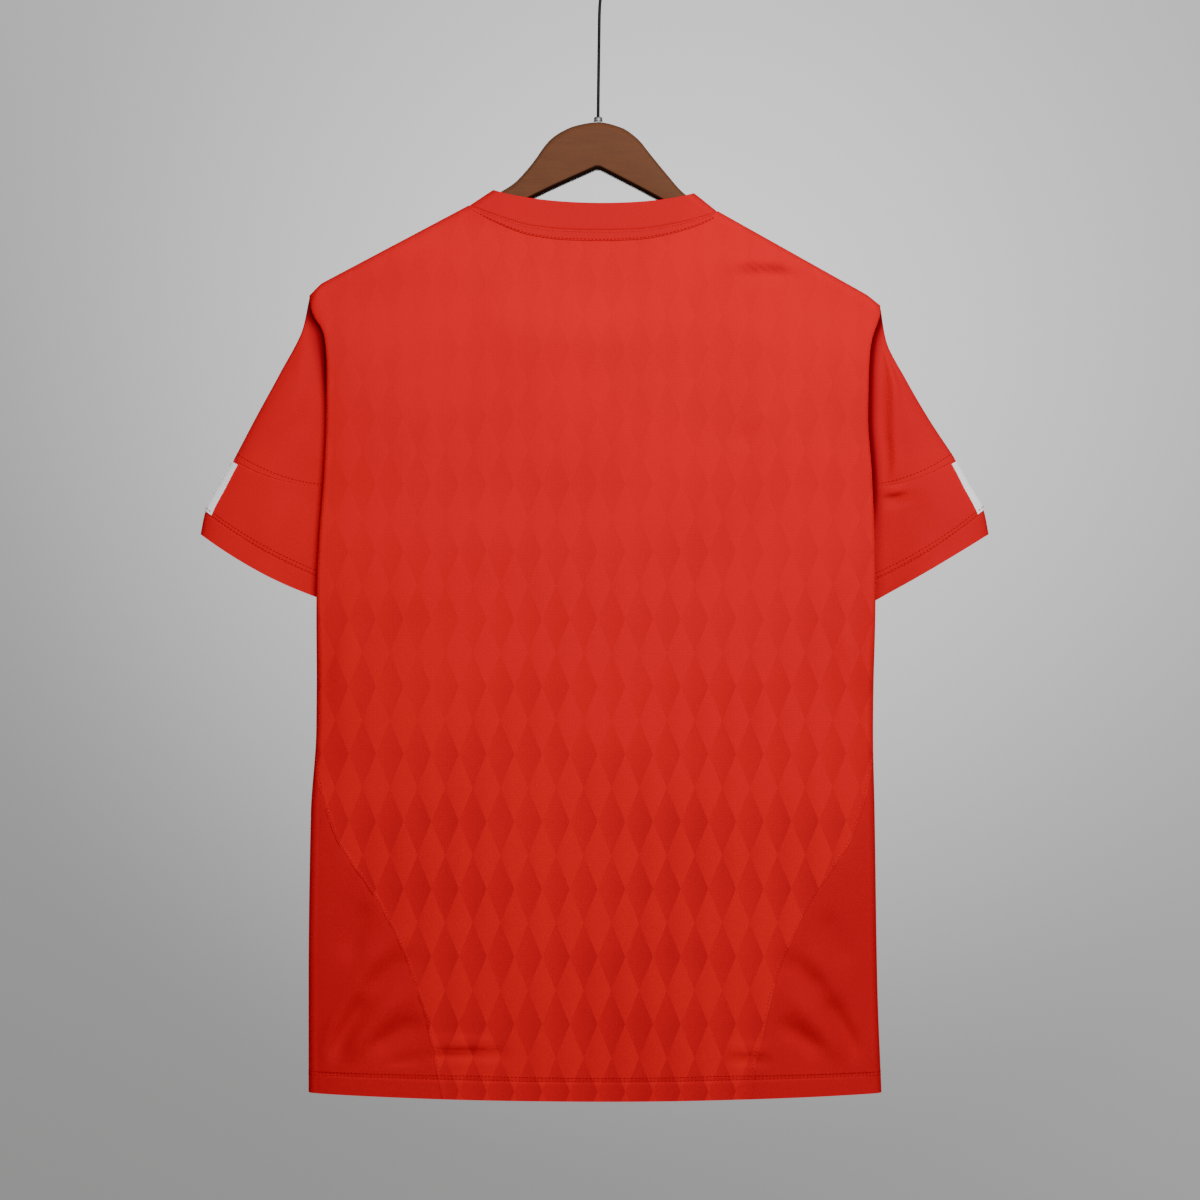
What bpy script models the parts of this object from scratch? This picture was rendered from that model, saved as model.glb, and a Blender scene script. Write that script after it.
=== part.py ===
"""A short-sleeved football jersey hanging on a plain hanger.

Lengths in the tables are millimetres. X runs across the shoulders, Z runs up and
the back panel faces -Y. The origin is the inner crest of the hook.
"""

from collections import namedtuple
from math import copysign, cos, pi, radians, sin, sqrt

import bmesh
import bpy
import numpy as np
from mathutils import Vector

MM = 0.001

# Cloth
WALL = 1.2
SEAM_GAP = 0.3
BAND_WALL = 0.8

# Torso
HEM_SIDE_Z = -955.0
HEM_MIDDLE_DROP = 5.5
TUCK_REACH = 28.0  # how far the armhole edge is folded in
TUCK_LAP = 5.0  # last strip of the fold, which carries the seam
SLEEVE_SLOT = 6.2  # half the gap between the folded edges, for the sleeve
SHOULDER_ROUND = 9.0
SHOULDER_HALF_DEPTH = 9.2
SIDE_DEPTH = 8.0  # depth of a face beside the plain side fold
TUCKED_DEPTH = 13.2  # the same beside the armhole's fold
NECK_BULGE = 3.5

# Shoulder tip, collar end and slope of each shoulder line
Shoulder = namedtuple("Shoulder", "tip_x tip_z bend_x bend_z neck_x neck_z")
SHOULDER = {
    -1: Shoulder(240.3, -290.0, 231.0, -280.3, 107.8, -215.0),
    1: Shoulder(236.6, -298.0, 225.0, -289.5, 100.7, -219.8),
}

# Half width of the body's outline on each side
Width = namedtuple("Width", "z left right")
WIDTHS = (
    Width(-290, 240.3, 236.6),
    Width(-300, 235.0, 236.6),
    Width(-312, 229.0, 233.5),
    Width(-342, 226.0, 226.5),
    Width(-400, 225.5, 225.6),
    Width(-444, 227.3, 228.3),
    Width(-502, 231.7, 230.6),
    Width(-545, 233.8, 231.3),
    Width(-656, 234.6, 229.9),
    Width(-723, 239.1, 231.2),
    Width(-864, 241.0, 233.4),
    Width(-956, 241.0, 236.9),
)

# Depth of each face from the middle plane, at the centre line
Depth = namedtuple("Depth", "z back front")
DEPTHS = (
    Depth(-215, 13.0, 13.0),
    Depth(-300, 20.0, 22.0),
    Depth(-420, 25.0, 27.0),
    Depth(-620, 24.0, 24.0),
    Depth(-800, 22.0, 21.0),
    Depth(-960, 21.0, 19.0),
)

# Cloth distance from the side fold to the insert's seam
Insert = namedtuple("Insert", "z left right")
INSERTS = (
    Insert(-668, 1.0, 2.0),
    Insert(-690, 7.0, 7.0),
    Insert(-715, 14.8, 13.0),
    Insert(-748, 27.0, 25.0),
    Insert(-778, 46.0, 43.5),
    Insert(-804, 64.0, 61.0),
    Insert(-838, 82.0, 78.5),
    Insert(-866, 93.0, 90.0),
    Insert(-895, 103.0, 98.5),
    Insert(-926, 110.5, 108.0),
    Insert(-956, 117.0, 114.0),
)

# Places on the back neck seam
Place = namedtuple("Place", "x z")
NECK_BACK = (
    Place(-108, -215.0),
    Place(-85, -223.7),
    Place(-56, -232.6),
    Place(-26, -235.9),
    Place(5, -236.6),
    Place(34, -235.6),
    Place(64, -231.1),
    Place(94, -223.0),
    Place(101, -219.8),
)
FRONT_NECK_DROP = 88.0

# Sleeve rings from the armhole to the cuff's edge
Ring = namedtuple("Ring", "top_x top_z under_z bow depth armhole")
SLEEVE = {
    -1: (
        Ring(241.6, -293.5, -442, 0.0, 4.5, 1.00),
        Ring(246.5, -320.0, -443, 2.0, 9.0, 0.72),
        Ring(265.4, -355.6, -444, 5.0, 12.5, 0.40),
        Ring(284.5, -391.0, -445, 8.0, 14.5, 0.14),
        Ring(303.6, -427.5, -447, 10.0, 15.0, 0.00),
        Ring(314.5, -447.0, -486, 8.5, 15.0, 0.00),
        Ring(327.3, -471.0, -538, 6.5, 15.5, 0.00),
        Ring(331.1, -489.2, -555, 7.5, 16.5, 0.00),
    ),
    1: (
        Ring(238.6, -302.0, -442, 0.0, 4.5, 1.00),
        Ring(242.0, -330.0, -443, 2.0, 9.0, 0.72),
        Ring(258.5, -362.0, -444, 5.0, 12.5, 0.40),
        Ring(277.0, -394.0, -445, 8.0, 14.5, 0.14),
        Ring(298.5, -427.0, -447, 10.0, 15.0, 0.00),
        Ring(309.5, -446.5, -486, 8.5, 15.0, 0.00),
        Ring(322.4, -470.0, -538, 6.5, 15.5, 0.00),
        Ring(326.3, -489.2, -555, 7.5, 16.5, 0.00),
    ),
}
CROSS_SEAM_RING, CUFF_SEAM_RING, CUFF_EDGE_RING = 4, 6, 7
RING_GAP = 0.018  # half a seam's gap, as a share of the way between two rings
SLEEVE_AROUND = 22
SLOT_CLEARANCE = 1.65  # from a folded edge to the sleeve inside it
BAND_RING_GAP = 0.06
BAND_REACH = 0.56  # angle from the top fold to each edge of the white band
UNDERARM_INSET = 25.0
ARMHOLE_INSET = 31.0

# Collar and neck tape
COLLAR_TOP = {-1: Place(86.9, -202.0), 1: Place(80.5, -204.7)}
COLLAR_TOP_DIP = 10.3
FRONT_COLLAR_HEIGHT = 20.0
TAPE_WIDTH = 8.4
TAPE_ENDS = (-98.0, 92.0)
TAPE_TOP_GAP = 1.0

# Hanger
HANGER_HALF_THICK = 7.5
HANGER_CORNER = 6.8
HANGER_AROUND = 16
Arm = namedtuple("Arm", "x top bottom")
ARMS = (
    Arm(-225, -280.2, -286.0),
    Arm(-220, -276.2, -289.0),
    Arm(-200, -265.0, -281.0),
    Arm(-160, -244.0, -262.0),
    Arm(-106, -218.4, -235.5),
    Arm(-80.7, -203.1, -222.8),
    Arm(-70.1, -196.4, -217.5),
    Arm(-55.3, -180.5, -210.1),
    Arm(-40.3, -160.5, -202.7),
    Arm(-31.4, -153.8, -198.6),
    Arm(-18.0, -147.9, -192.6),
    Arm(0.4, -145.0, -184.4),
    Arm(19.4, -149.3, -194.2),
    Arm(34.4, -159.6, -201.9),
    Arm(41.8, -168.8, -205.9),
    Arm(56.8, -187.2, -214.0),
    Arm(71.6, -203.9, -221.9),
    Arm(98.0, -221.9, -236.7),
    Arm(150, -249.9, -265.5),
    Arm(195, -275.8, -290.0),
    Arm(217, -288.3, -300.5),
    Arm(222, -291.4, -298.0),
)
WIRE_RADIUS = 1.3
HOOK_RADIUS = 17.0
FERRULE_RADIUS, FERRULE_HEIGHT = 4.0, 4.0
FERRULE_X, FERRULE_FOOT_Z = 0.5, -144.6
SHANK = (Place(0.8, -110.0), Place(1.3, -75.0), Place(1.7, -44.0))
NECK_BEND = (Place(3.9, -37.5), Place(9.5, -31.5), Place(15.4, -26.0))  # from the shank to the curl
HOOK_END = Place(-19.5, -26.0)
HOOK_TURN = 190  # degrees of the curl

RED = (0.68, 0.045, 0.030, 1.0)
INSERT_RED = (0.56, 0.030, 0.020, 1.0)
WHITE = (0.90, 0.87, 0.86, 1.0)
BROWN = (0.19, 0.075, 0.037, 1.0)
BLACK = (0.02, 0.02, 0.02, 1.0)
STEEL = (0.45, 0.45, 0.45, 1.0)


def ease(low, high, value):
    """0 at low, 1 at high, smooth between."""
    t = min(1.0, max(0.0, (value - low) / (high - low)))
    return t * t * (3 - 2 * t)


def follow(places, values, at):
    """A smooth curve through a table's values that never overshoots them."""
    places = np.asarray(places, float)
    values = np.asarray(values, float)
    if places[0] > places[-1]:
        places, values = places[::-1], values[::-1]
    at = min(max(at, places[0]), places[-1])
    i = int(min(max(np.searchsorted(places, at) - 1, 0), len(places) - 2))
    slopes = np.diff(values) / np.diff(places)
    tangents = np.concatenate([slopes[:1], np.zeros(len(slopes) - 1), slopes[-1:]])
    for k in range(1, len(slopes)):
        if slopes[k - 1] * slopes[k] > 0:
            tangents[k] = 2 * slopes[k - 1] * slopes[k] / (slopes[k - 1] + slopes[k])
    step = places[i + 1] - places[i]
    t = (at - places[i]) / step
    return float(
        (2 * t**3 - 3 * t**2 + 1) * values[i] + (t**3 - 2 * t**2 + t) * step * tangents[i]
        + (3 * t**2 - 2 * t**3) * values[i + 1] + (t**3 - t**2) * step * tangents[i + 1]
    )


def column(table, name):
    return [getattr(row, name) for row in table]


def side_name(side):
    return "left" if side < 0 else "right"


def half_width(side, z):
    return follow(column(WIDTHS, "z"), column(WIDTHS, side_name(side)), z)


def shoulder_z(x):
    """Height of the shoulder line over x, outside the neck."""
    s = SHOULDER[-1 if x < 0 else 1]
    return float(np.interp(abs(x), (s.neck_x, s.bend_x, s.tip_x), (s.neck_z, s.bend_z, s.tip_z)))


def neck_g(x):
    """0 at the neck's middle, 1 at the collar's ends and past them."""
    return min(1.0, abs(x) / SHOULDER[-1 if x < 0 else 1].neck_x)


def top_z(x, face):
    """Upper edge of the back (-1) or front (1) panel."""
    if neck_g(x) >= 1.0:
        return shoulder_z(x)
    if face < 0:
        return follow(column(NECK_BACK, "x"), column(NECK_BACK, "z"), x)
    left, right = SHOULDER[-1], SHOULDER[1]
    line = np.interp(x, (-left.neck_x, right.neck_x), (left.neck_z, right.neck_z))
    return float(line - FRONT_NECK_DROP * (1 - neck_g(x) ** 2.4))


def hem_z(x):
    return HEM_SIDE_Z - HEM_MIDDLE_DROP * (1 - min(1.0, (x / 240.0) ** 2))


def slot(z):
    """Half gap between the folded edges of the two faces."""
    opened = ease(-290.5, -306, z) * ease(-592, -563, z)
    return SEAM_GAP / 2 + (SLEEVE_SLOT - SEAM_GAP / 2) * opened


def turned(z):
    """How far the armhole edge is folded in: 0 plain, 1 fully."""
    return ease(-308, -345, z) * ease(-592, -563, z)


def side_closed(z):
    """1 where the side seam closes the bottom of the fold."""
    return ease(-446, -462, z)


ACROSS, ROUND, STRIP, LAP = 11, 4, 2, 1  # columns of one half section
INSERT_STEPS = 7
NECK_COLUMNS = (0, 0.3, 0.58, 0.8, 0.93, 0.985, 1)  # share of the way to the collar's end


def column_shares(side):
    """Share of the flat half width at each column, with one at the collar's end."""
    neck = SHOULDER[side].neck_x / (half_width(side, -300) - 7)
    beyond = np.linspace(neck, 1, ACROSS - len(NECK_COLUMNS) + 2)[1:]
    return [neck * share for share in NECK_COLUMNS] + list(beyond)


def fold_size(z):
    t = turned(z)
    return 7.0 - 3.0 * t, 7.9 - 4.4 * t  # radius across, radius through


def edge_depth(z):
    """Depth of a face where its side fold begins."""
    return SIDE_DEPTH + (TUCKED_DEPTH - SIDE_DEPTH) * ease(-290, -350, z) * ease(-680, -490, z)


def face_depth(x, z, face, fraction):
    """Distance of a face from the middle plane over its flat part."""
    edge = edge_depth(z)
    middle = follow(column(DEPTHS, "z"), column(DEPTHS, "back" if face < 0 else "front"), z)
    lens = (1 - min(1.0, fraction) ** 2.3) ** 0.8
    full = edge + (middle - edge) * lens
    below = top_z(x, -1) - z
    near_neck = NECK_BULGE * (1 - neck_g(x) ** 2) * ease(110, 0, below)
    return SHOULDER_HALF_DEPTH + (full - SHOULDER_HALF_DEPTH) * ease(0, 95, below) + near_neck


def fold_z(x):
    """The shoulder line, carried on up along the collar's end folds."""
    side = -1 if x < 0 else 1
    s = SHOULDER[side]
    if abs(x) >= s.neck_x:
        return shoulder_z(x)
    top = COLLAR_TOP[side]
    slope = (top.z - s.neck_z) / (s.neck_x - top.x)
    return s.neck_z + slope * (s.neck_x - abs(x))


def rounding(x, z):
    """Share of the depth reached at this height, under the shoulder fold over the hanger."""
    g = 1 - min(1.0, max(0.0, fold_z(x) - z) / SHOULDER_ROUND)
    return sqrt(1 - g * g)


def section_point(side, face, row_z, share, index):
    """A point of the torso. index runs from the centre line to the side seam."""
    edge = half_width(side, row_z)
    across, through = fold_size(row_z)
    flat = edge - across
    end = slot(row_z)
    sweep = pi / 2 * (1 + turned(row_z))
    fold_middle = end - through * cos(sweep)
    fold_depth = fold_middle + through
    x = flat * float(np.interp(index, range(ACROSS + 1), column_shares(side)))
    angle = sweep * min(1.0, max(0.0, index - ACROSS) / ROUND)
    reach = x + (across * sin(min(angle, pi / 2)) if index > ACROSS else 0)
    top = top_z(side * reach, face)
    z = top + (hem_z(side * reach) - top) * share
    tip = ease(ACROSS - 1, ACROSS + 1, index)
    seam = SEAM_GAP / 2 + (0.2 + 0.7 * tip) * ease(20, 0, top - z)
    if index <= ACROSS:
        y = face_depth(side * x, z, face, x / flat)
        y *= rounding(side * x, z)
    else:
        depth = face_depth(side * flat, z, face, 1.0)
        x = flat + across * sin(angle)
        y = end + (fold_middle + through * cos(angle) - end) * (depth - end) / (fold_depth - end)
        x -= TUCK_REACH * turned(row_z) * min(1.0, max(0.0, index - ACROSS - ROUND) / STRIP)
        lap = max(0.0, index - ACROSS - ROUND - STRIP)
        x -= TUCK_LAP * turned(row_z) * lap
        y += (SEAM_GAP / 2 + 0.4 * WALL - y) * lap * side_closed(row_z)
        y = seam + (y - seam) * rounding(side * reach, z)
    return Vector((side * x, face * max(y, seam), z)) * MM


def last_index(side, row_z, gap=0.0):
    """Index of the panel's edge: the side seam, or the insert's seam below."""
    if row_z > INSERTS[0].z:
        return ACROSS + ROUND + (STRIP + LAP) * min(1.0, 3 * turned(row_z))
    away = follow(column(INSERTS, "z"), column(INSERTS, side_name(side)), row_z) + gap
    across, through = fold_size(row_z)
    arc = pi / 2 * sqrt((across**2 + through**2) / 2)
    if away < arc:
        return ACROSS + ROUND * (1 - away / arc)
    flat = half_width(side, row_z) - across
    share = (flat - (away - arc)) / flat
    return float(np.interp(share, column_shares(side), range(ACROSS + 1)))


def row_levels():
    """Heights of the rows at the side edge, from the shoulder tip to the hem."""
    top = SHOULDER[-1].tip_z
    near = [top - d for d in (0, 1.2, 3.5, 7, 12, 20, 32, 48)]
    armhole = list(np.linspace(-360, -440, 4)) + [-447, -462]
    tuck = [-510, -562, -572, -582, -592]
    below = [-630, -667.9, -675, -683] + list(np.linspace(-705, -930, 7)) + [HEM_SIDE_Z]
    return near + armhole + tuck + below


def grid_object(name, points, material, wall, closed=False, caps=False):
    """A cloth wall on a grid of points, or a closed loft when caps is set."""
    rows, columns = len(points), len(points[0])
    bm = bmesh.new()
    wide = columns if not closed else columns + 1
    bmesh.ops.create_grid(bm, x_segments=wide - 1, y_segments=rows - 1, size=1)
    bm.verts.ensure_lookup_table()
    for i, vertex in enumerate(sorted(bm.verts, key=lambda v: (round(v.co.y, 6), v.co.x))):
        vertex.co = points[i // wide][i % wide % columns]
    bmesh.ops.remove_doubles(bm, verts=bm.verts, dist=1e-7)
    if caps:
        bmesh.ops.holes_fill(bm, edges=[e for e in bm.edges if e.is_boundary], sides=0)
    bmesh.ops.recalc_face_normals(bm, faces=bm.faces)
    mesh = bpy.data.meshes.new(name)
    bm.to_mesh(mesh)
    bm.free()
    mesh.shade_smooth()
    made = bpy.data.objects.new(name, mesh)
    jersey.objects.link(made)
    mesh.materials.append(material)
    if wall:
        solid = made.modifiers.new("wall", "SOLIDIFY")
        solid.thickness = wall * MM
        solid.offset = 0
    return made


def paint(name, colour, roughness, metallic=0.0):
    made = bpy.data.materials.new(name)
    made.use_nodes = True
    shader = made.node_tree.nodes["Principled BSDF"]
    shader.inputs["Base Color"].default_value = colour
    shader.inputs["Roughness"].default_value = roughness
    shader.inputs["Metallic"].default_value = metallic
    return made


def share_of(level):
    top = SHOULDER[-1].tip_z
    return (level - top) / (HEM_SIDE_Z - top)


def side_level(side, level):
    """Height of a row at this side's edge, whose shoulder tip may be lower."""
    top = SHOULDER[side].tip_z
    return top + (HEM_SIDE_Z - top) * share_of(level)


def panel_points(face):
    half = ACROSS + ROUND + STRIP + LAP
    points = []
    for level in row_levels():
        row = []
        for step in range(-half, half + 1):
            side = -1 if step < 0 else 1
            height = side_level(side, level)
            index = abs(step) / half * last_index(side, height)
            row.append(section_point(side, face, height, share_of(level), index))
        points.append(row)
    return points


def build_torso():
    red = paint("jersey_red", RED, 0.6)
    grid_object("back_panel", panel_points(-1), red, WALL)
    grid_object("front_panel", panel_points(1), red, WALL)


def build_inserts():
    plain = paint("insert_red", INSERT_RED, 0.6)
    levels = [z for z in row_levels() if z < INSERTS[0].z - 5]
    for side in (-1, 1):
        points = []
        for level in levels:
            height = side_level(side, level)
            first = last_index(side, height, -SEAM_GAP - 0.1)
            back = np.linspace(first, ACROSS + ROUND, INSERT_STEPS + 1)
            row = [section_point(side, -1, height, share_of(level), i) for i in back]
            row[-1].y = 0.0
            front = [section_point(side, 1, height, share_of(level), i) for i in back[:-1]]
            points.append(row + front[::-1])
        grid_object("side_insert_" + side_name(side), points, plain, WALL)


def armhole_point(side, z):
    """Inner edge of the sleeve along the armhole, in x and z."""
    inset = -1.2 + (ARMHOLE_INSET + 1.2) * ease(-306, -345, z)
    inset -= (ARMHOLE_INSET - UNDERARM_INSET) * ease(-425, -442, z)
    return half_width(side, z) - inset


def ring_at(side, place):
    """A ring between two rows of the sleeve's table."""
    table = SLEEVE[side]
    places = range(len(table))
    return Ring(*(follow(places, column(table, name), place) for name in Ring._fields))


def sleeve_point(side, place, angle):
    """angle 0 is the top fold, pi the underarm fold; below pi is the back."""
    ring = ring_at(side, place)
    u = cos(angle)
    mix = (u + 1) / 2
    under_x = half_width(side, ring.under_z) - UNDERARM_INSET
    x = under_x + (ring.top_x - under_x) * mix
    z = ring.under_z + (ring.top_z - ring.under_z) * mix - ring.bow * (1 - u * u)
    if ring.armhole > 0:
        first = SLEEVE[side][0]
        low_x = half_width(side, first.under_z) - UNDERARM_INSET
        chord_x = low_x + (first.top_x - low_x) * mix
        chord_z = first.under_z + (first.top_z - first.under_z) * mix
        x += ring.armhole * (armhole_point(side, chord_z) - chord_x)
    inner = max(SEAM_GAP, slot(min(z, SLEEVE[side][0].top_z - 8)) - SLOT_CLEARANCE)
    outside = ease(4, 40, x - half_width(side, z))
    half = inner + (max(ring.depth, inner) - inner) * outside
    y = half * abs(sin(angle)) ** 0.7 * (-1 if sin(angle) > 0 else 1)
    return Vector((side * x, y, z))


def sleeve_points(side, low, high, rows):
    turns = [2 * pi * i / SLEEVE_AROUND for i in range(SLEEVE_AROUND)]
    places = np.linspace(low, high, rows + 1)
    return [[sleeve_point(side, place, turn) * MM for turn in turns] for place in places]


def build_sleeves():
    red = bpy.data.materials["jersey_red"]
    plain = bpy.data.materials["insert_red"]
    for side in (-1, 1):
        name = side_name(side)
        pieces = (
            ("sleeve_", 0.0, CROSS_SEAM_RING - RING_GAP, 8, red),
            ("lower_sleeve_", CROSS_SEAM_RING + RING_GAP, CUFF_SEAM_RING - RING_GAP, 4, plain),
            ("cuff_", CUFF_SEAM_RING + RING_GAP, CUFF_EDGE_RING, 2, plain),
        )
        for piece, low, high, rows, look in pieces:
            points = sleeve_points(side, low, high, rows)
            grid_object(piece + name, points, look, WALL, closed=True)


def sleeve_outward(side, place, angle):
    """Direction straight out of the sleeve's cloth."""
    along = sleeve_point(side, place, angle + 0.02) - sleeve_point(side, place, angle - 0.02)
    down = sleeve_point(side, place + 0.05, angle) - sleeve_point(side, place - 0.05, angle)
    out = along.cross(down).normalized()
    if out.dot(sleeve_point(side, place, angle) - sleeve_point(side, place, pi / 2)) < 0:
        out.negate()
    return out


def build_sleeve_bands():
    """A white band over the top fold of each lower sleeve."""
    white = paint("band_white", WHITE, 0.55)
    places = np.linspace(CROSS_SEAM_RING + BAND_RING_GAP, CUFF_SEAM_RING - BAND_RING_GAP, 6)
    turns = np.linspace(-BAND_REACH, BAND_REACH, 9)
    offset = WALL / 2 + SEAM_GAP + BAND_WALL / 2
    for side in (-1, 1):
        points = []
        for place in places:
            row = []
            for turn in turns:
                point = sleeve_point(side, place, turn) + sleeve_outward(side, place, turn) * offset
                row.append(point * MM)
            points.append(row)
        grid_object("sleeve_band_" + side_name(side), points, white, BAND_WALL)


def collar_point(angle, height):
    """angle 0 is the left end, pi the right end; below pi is the back of the neck."""
    across = (1 - cos(angle)) / 2
    left, right = SHOULDER[-1].neck_x - 1.2, SHOULDER[1].neck_x - 1.2
    top_left, top_right = COLLAR_TOP[-1], COLLAR_TOP[1]
    bulge = abs(sin(angle))
    back = sin(angle) > 0
    low_x = (left + right) * across - left
    if back:
        low_z = top_z(low_x, -1) + SEAM_GAP + 0.2
    else:
        low_z = top_z(low_x, 1) + SEAM_GAP + 0.4
        low_x *= 0.984
    low_z = min(low_z, fold_z(low_x))
    high_x = (top_left.x + top_right.x) * across - top_left.x
    line = top_left.z + (top_right.z - top_left.z) * across
    high_z = line - COLLAR_TOP_DIP * bulge**1.5
    if not back:
        high_x = high_x * (1 - 0.25 * bulge) + low_x * 0.25 * bulge
        high_z = min(line - 3 * bulge, low_z + 13 + (FRONT_COLLAR_HEIGHT - 13) * bulge)
    x = low_x + (high_x - low_x) * height
    z = low_z + (high_z - low_z) * height
    flat = half_width(-1, -300) - fold_size(-300)[0]
    y = face_depth(x, min(z, top_z(x, -1)), -1 if back else 1, abs(x) / flat)
    return Vector((x, (-y if back else y) * rounding(x, z), z)) * MM


def build_collar():
    rows = 3
    quarter = (0, 5, 8.5, 12, 17, 24, 33, 45, 60, 75)
    half = list(quarter) + [90] + [180 - a for a in quarter[:0:-1]]
    turn = half + [180 + a for a in half]
    points = [[collar_point(radians(a), k / rows) for a in turn] for k in range(rows + 1)]
    grid_object("collar", points, bpy.data.materials["jersey_red"], WALL, closed=True)


def build_tape():
    """The raised band on the back panel, below the collar's seam."""
    offset = WALL / 2 + SEAM_GAP + BAND_WALL / 2
    points = []
    for k in range(4):
        row = []
        for x in np.linspace(*TAPE_ENDS, 29):
            side = -1 if x < 0 else 1
            narrowed = TAPE_WIDTH * (1 - 0.55 * (abs(x) / 100) ** 3)
            drop = TAPE_TOP_GAP + (narrowed - TAPE_TOP_GAP) * k / 3
            flat = half_width(side, -300) - fold_size(-300)[0]
            depth = face_depth(x, top_z(x, -1) - drop, -1, abs(x) / flat)
            y = depth * rounding(x, top_z(x, -1) - drop) + offset
            row.append(Vector((x, -y, top_z(x, -1) - drop)) * MM)
        points.append(row)
    grid_object("neck_tape", points, bpy.data.materials["jersey_red"], BAND_WALL)


def build_hanger():
    brown = paint("hanger_brown", BROWN, 0.35)
    points = []
    for arm in ARMS:
        middle, half_height = (arm.top + arm.bottom) / 2, (arm.top - arm.bottom) / 2
        radius = min(HANGER_CORNER, half_height)
        row = []
        for i in range(HANGER_AROUND):
            turn = 2 * pi * (i + 0.5) / HANGER_AROUND
            y = copysign(HANGER_HALF_THICK - HANGER_CORNER, cos(turn)) + HANGER_CORNER * cos(turn)
            z = middle + copysign(half_height - radius, sin(turn)) + radius * sin(turn)
            row.append(Vector((arm.x, y, z)) * MM)
        points.append(row)
    grid_object("hanger_body", points, brown, 0, closed=True, caps=True)


def build_hook():
    bpy.ops.mesh.primitive_cylinder_add(
        vertices=24, radius=FERRULE_RADIUS * MM, depth=FERRULE_HEIGHT * MM,
        location=(FERRULE_X * MM, 0, (FERRULE_FOOT_Z + FERRULE_HEIGHT / 2) * MM),
    )
    ferrule = bpy.context.object
    ferrule.name = "hook_ferrule"
    ferrule.data.materials.append(paint("ferrule_steel", STEEL, 0.35, 1.0))
    for holder in ferrule.users_collection:
        holder.objects.unlink(ferrule)
    jersey.objects.link(ferrule)
    middle = HOOK_RADIUS + WIRE_RADIUS
    route = [Place(FERRULE_X, FERRULE_FOOT_Z + FERRULE_HEIGHT + SEAM_GAP), *SHANK, *NECK_BEND]
    for degrees in range(0, HOOK_TURN + 1, 10):
        turn = radians(degrees)
        route.append(Place(middle * cos(turn), -HOOK_RADIUS + middle * sin(turn)))
    route.append(HOOK_END)
    wire = bpy.data.curves.new("hanger_hook", "CURVE")
    wire.dimensions = "3D"
    wire.bevel_depth = WIRE_RADIUS * MM
    wire.bevel_resolution = 2
    wire.use_fill_caps = True
    line = wire.splines.new("POLY")
    line.points.add(len(route) - 1)
    for point, (x, z) in zip(line.points, route):
        point.co = (x * MM, 0, z * MM, 1)
    hook = bpy.data.objects.new("hanger_hook", wire)
    jersey.objects.link(hook)
    wire.materials.append(paint("hook_black", BLACK, 0.4, 0.6))


for old in list(bpy.data.objects):
    bpy.data.objects.remove(old)
jersey = bpy.data.collections.new("football_jersey")
bpy.context.scene.collection.children.link(jersey)
build_torso()
build_inserts()
build_sleeves()
build_sleeve_bands()
build_collar()
build_tape()
build_hanger()
build_hook()
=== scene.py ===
from bisect import bisect_right
from math import cos, exp, pi, radians, sin, sqrt

import bmesh
import bpy
from mathutils import Matrix, Vector


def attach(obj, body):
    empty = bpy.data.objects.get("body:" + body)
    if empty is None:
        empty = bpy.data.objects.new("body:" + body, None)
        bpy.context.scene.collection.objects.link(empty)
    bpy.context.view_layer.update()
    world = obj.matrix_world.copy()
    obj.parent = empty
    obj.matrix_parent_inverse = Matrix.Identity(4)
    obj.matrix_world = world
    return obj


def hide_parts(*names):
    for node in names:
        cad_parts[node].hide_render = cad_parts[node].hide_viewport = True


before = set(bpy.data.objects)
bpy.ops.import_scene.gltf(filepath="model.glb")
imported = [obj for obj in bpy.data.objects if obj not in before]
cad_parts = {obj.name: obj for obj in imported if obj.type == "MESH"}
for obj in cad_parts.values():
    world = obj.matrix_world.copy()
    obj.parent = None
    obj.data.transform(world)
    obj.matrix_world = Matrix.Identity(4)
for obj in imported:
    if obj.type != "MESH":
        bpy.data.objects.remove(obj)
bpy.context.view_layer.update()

mm = 0.001  # every size below is in millimetres unless its note says otherwise
print("frame loaded")


# small helpers for curves through a few named places

def ease(low, high, value):
    t = min(1.0, max(0.0, (value - low) / (high - low)))
    return t * t * (3 - 2 * t)


def stepOf(xs, x):
    # the step of a sorted list that holds x, and how far along it x lies
    x = min(max(x, xs[0]), xs[-1])
    i = min(max(bisect_right(xs, x) - 1, 0), len(xs) - 2)
    return i, (x - xs[i]) / (xs[i + 1] - xs[i])


def smoothCurve(pairs):
    # passes through (place, value) pairs and never overshoots them
    xs, ys = zip(*sorted(pairs))
    slopes = [(ys[i + 1] - ys[i]) / (xs[i + 1] - xs[i]) for i in range(len(xs) - 1)]
    tangents = [slopes[0]] + [0.0] * (len(xs) - 2) + [slopes[-1]]
    for k in range(1, len(slopes)):
        if slopes[k - 1] * slopes[k] > 0:
            tangents[k] = 2 * slopes[k - 1] * slopes[k] / (slopes[k - 1] + slopes[k])

    def at(x):
        i, t = stepOf(xs, x)
        step = xs[i + 1] - xs[i]
        return ((2 * t**3 - 3 * t**2 + 1) * ys[i] + (t**3 - 2 * t**2 + t) * step * tangents[i]
                + (3 * t**2 - 2 * t**3) * ys[i + 1] + (t**3 - t**2) * step * tangents[i + 1])

    return at


def brokenLine(pairs):
    xs, ys = zip(*pairs)

    def at(x):
        i, t = stepOf(xs, x)
        return ys[i] + (ys[i + 1] - ys[i]) * t

    return at


def spread(low, high, count):
    return [low + (high - low) * i / count for i in range(count + 1)]


def addObject(name, data):
    made = bpy.data.objects.new(name, data)
    bpy.context.scene.collection.objects.link(made)
    return made


# camera: level, looking at the back of the jersey

camera = {"distance": 3000.0, "x": 2.1, "height": -544.2, "lens": 107.7}


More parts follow.
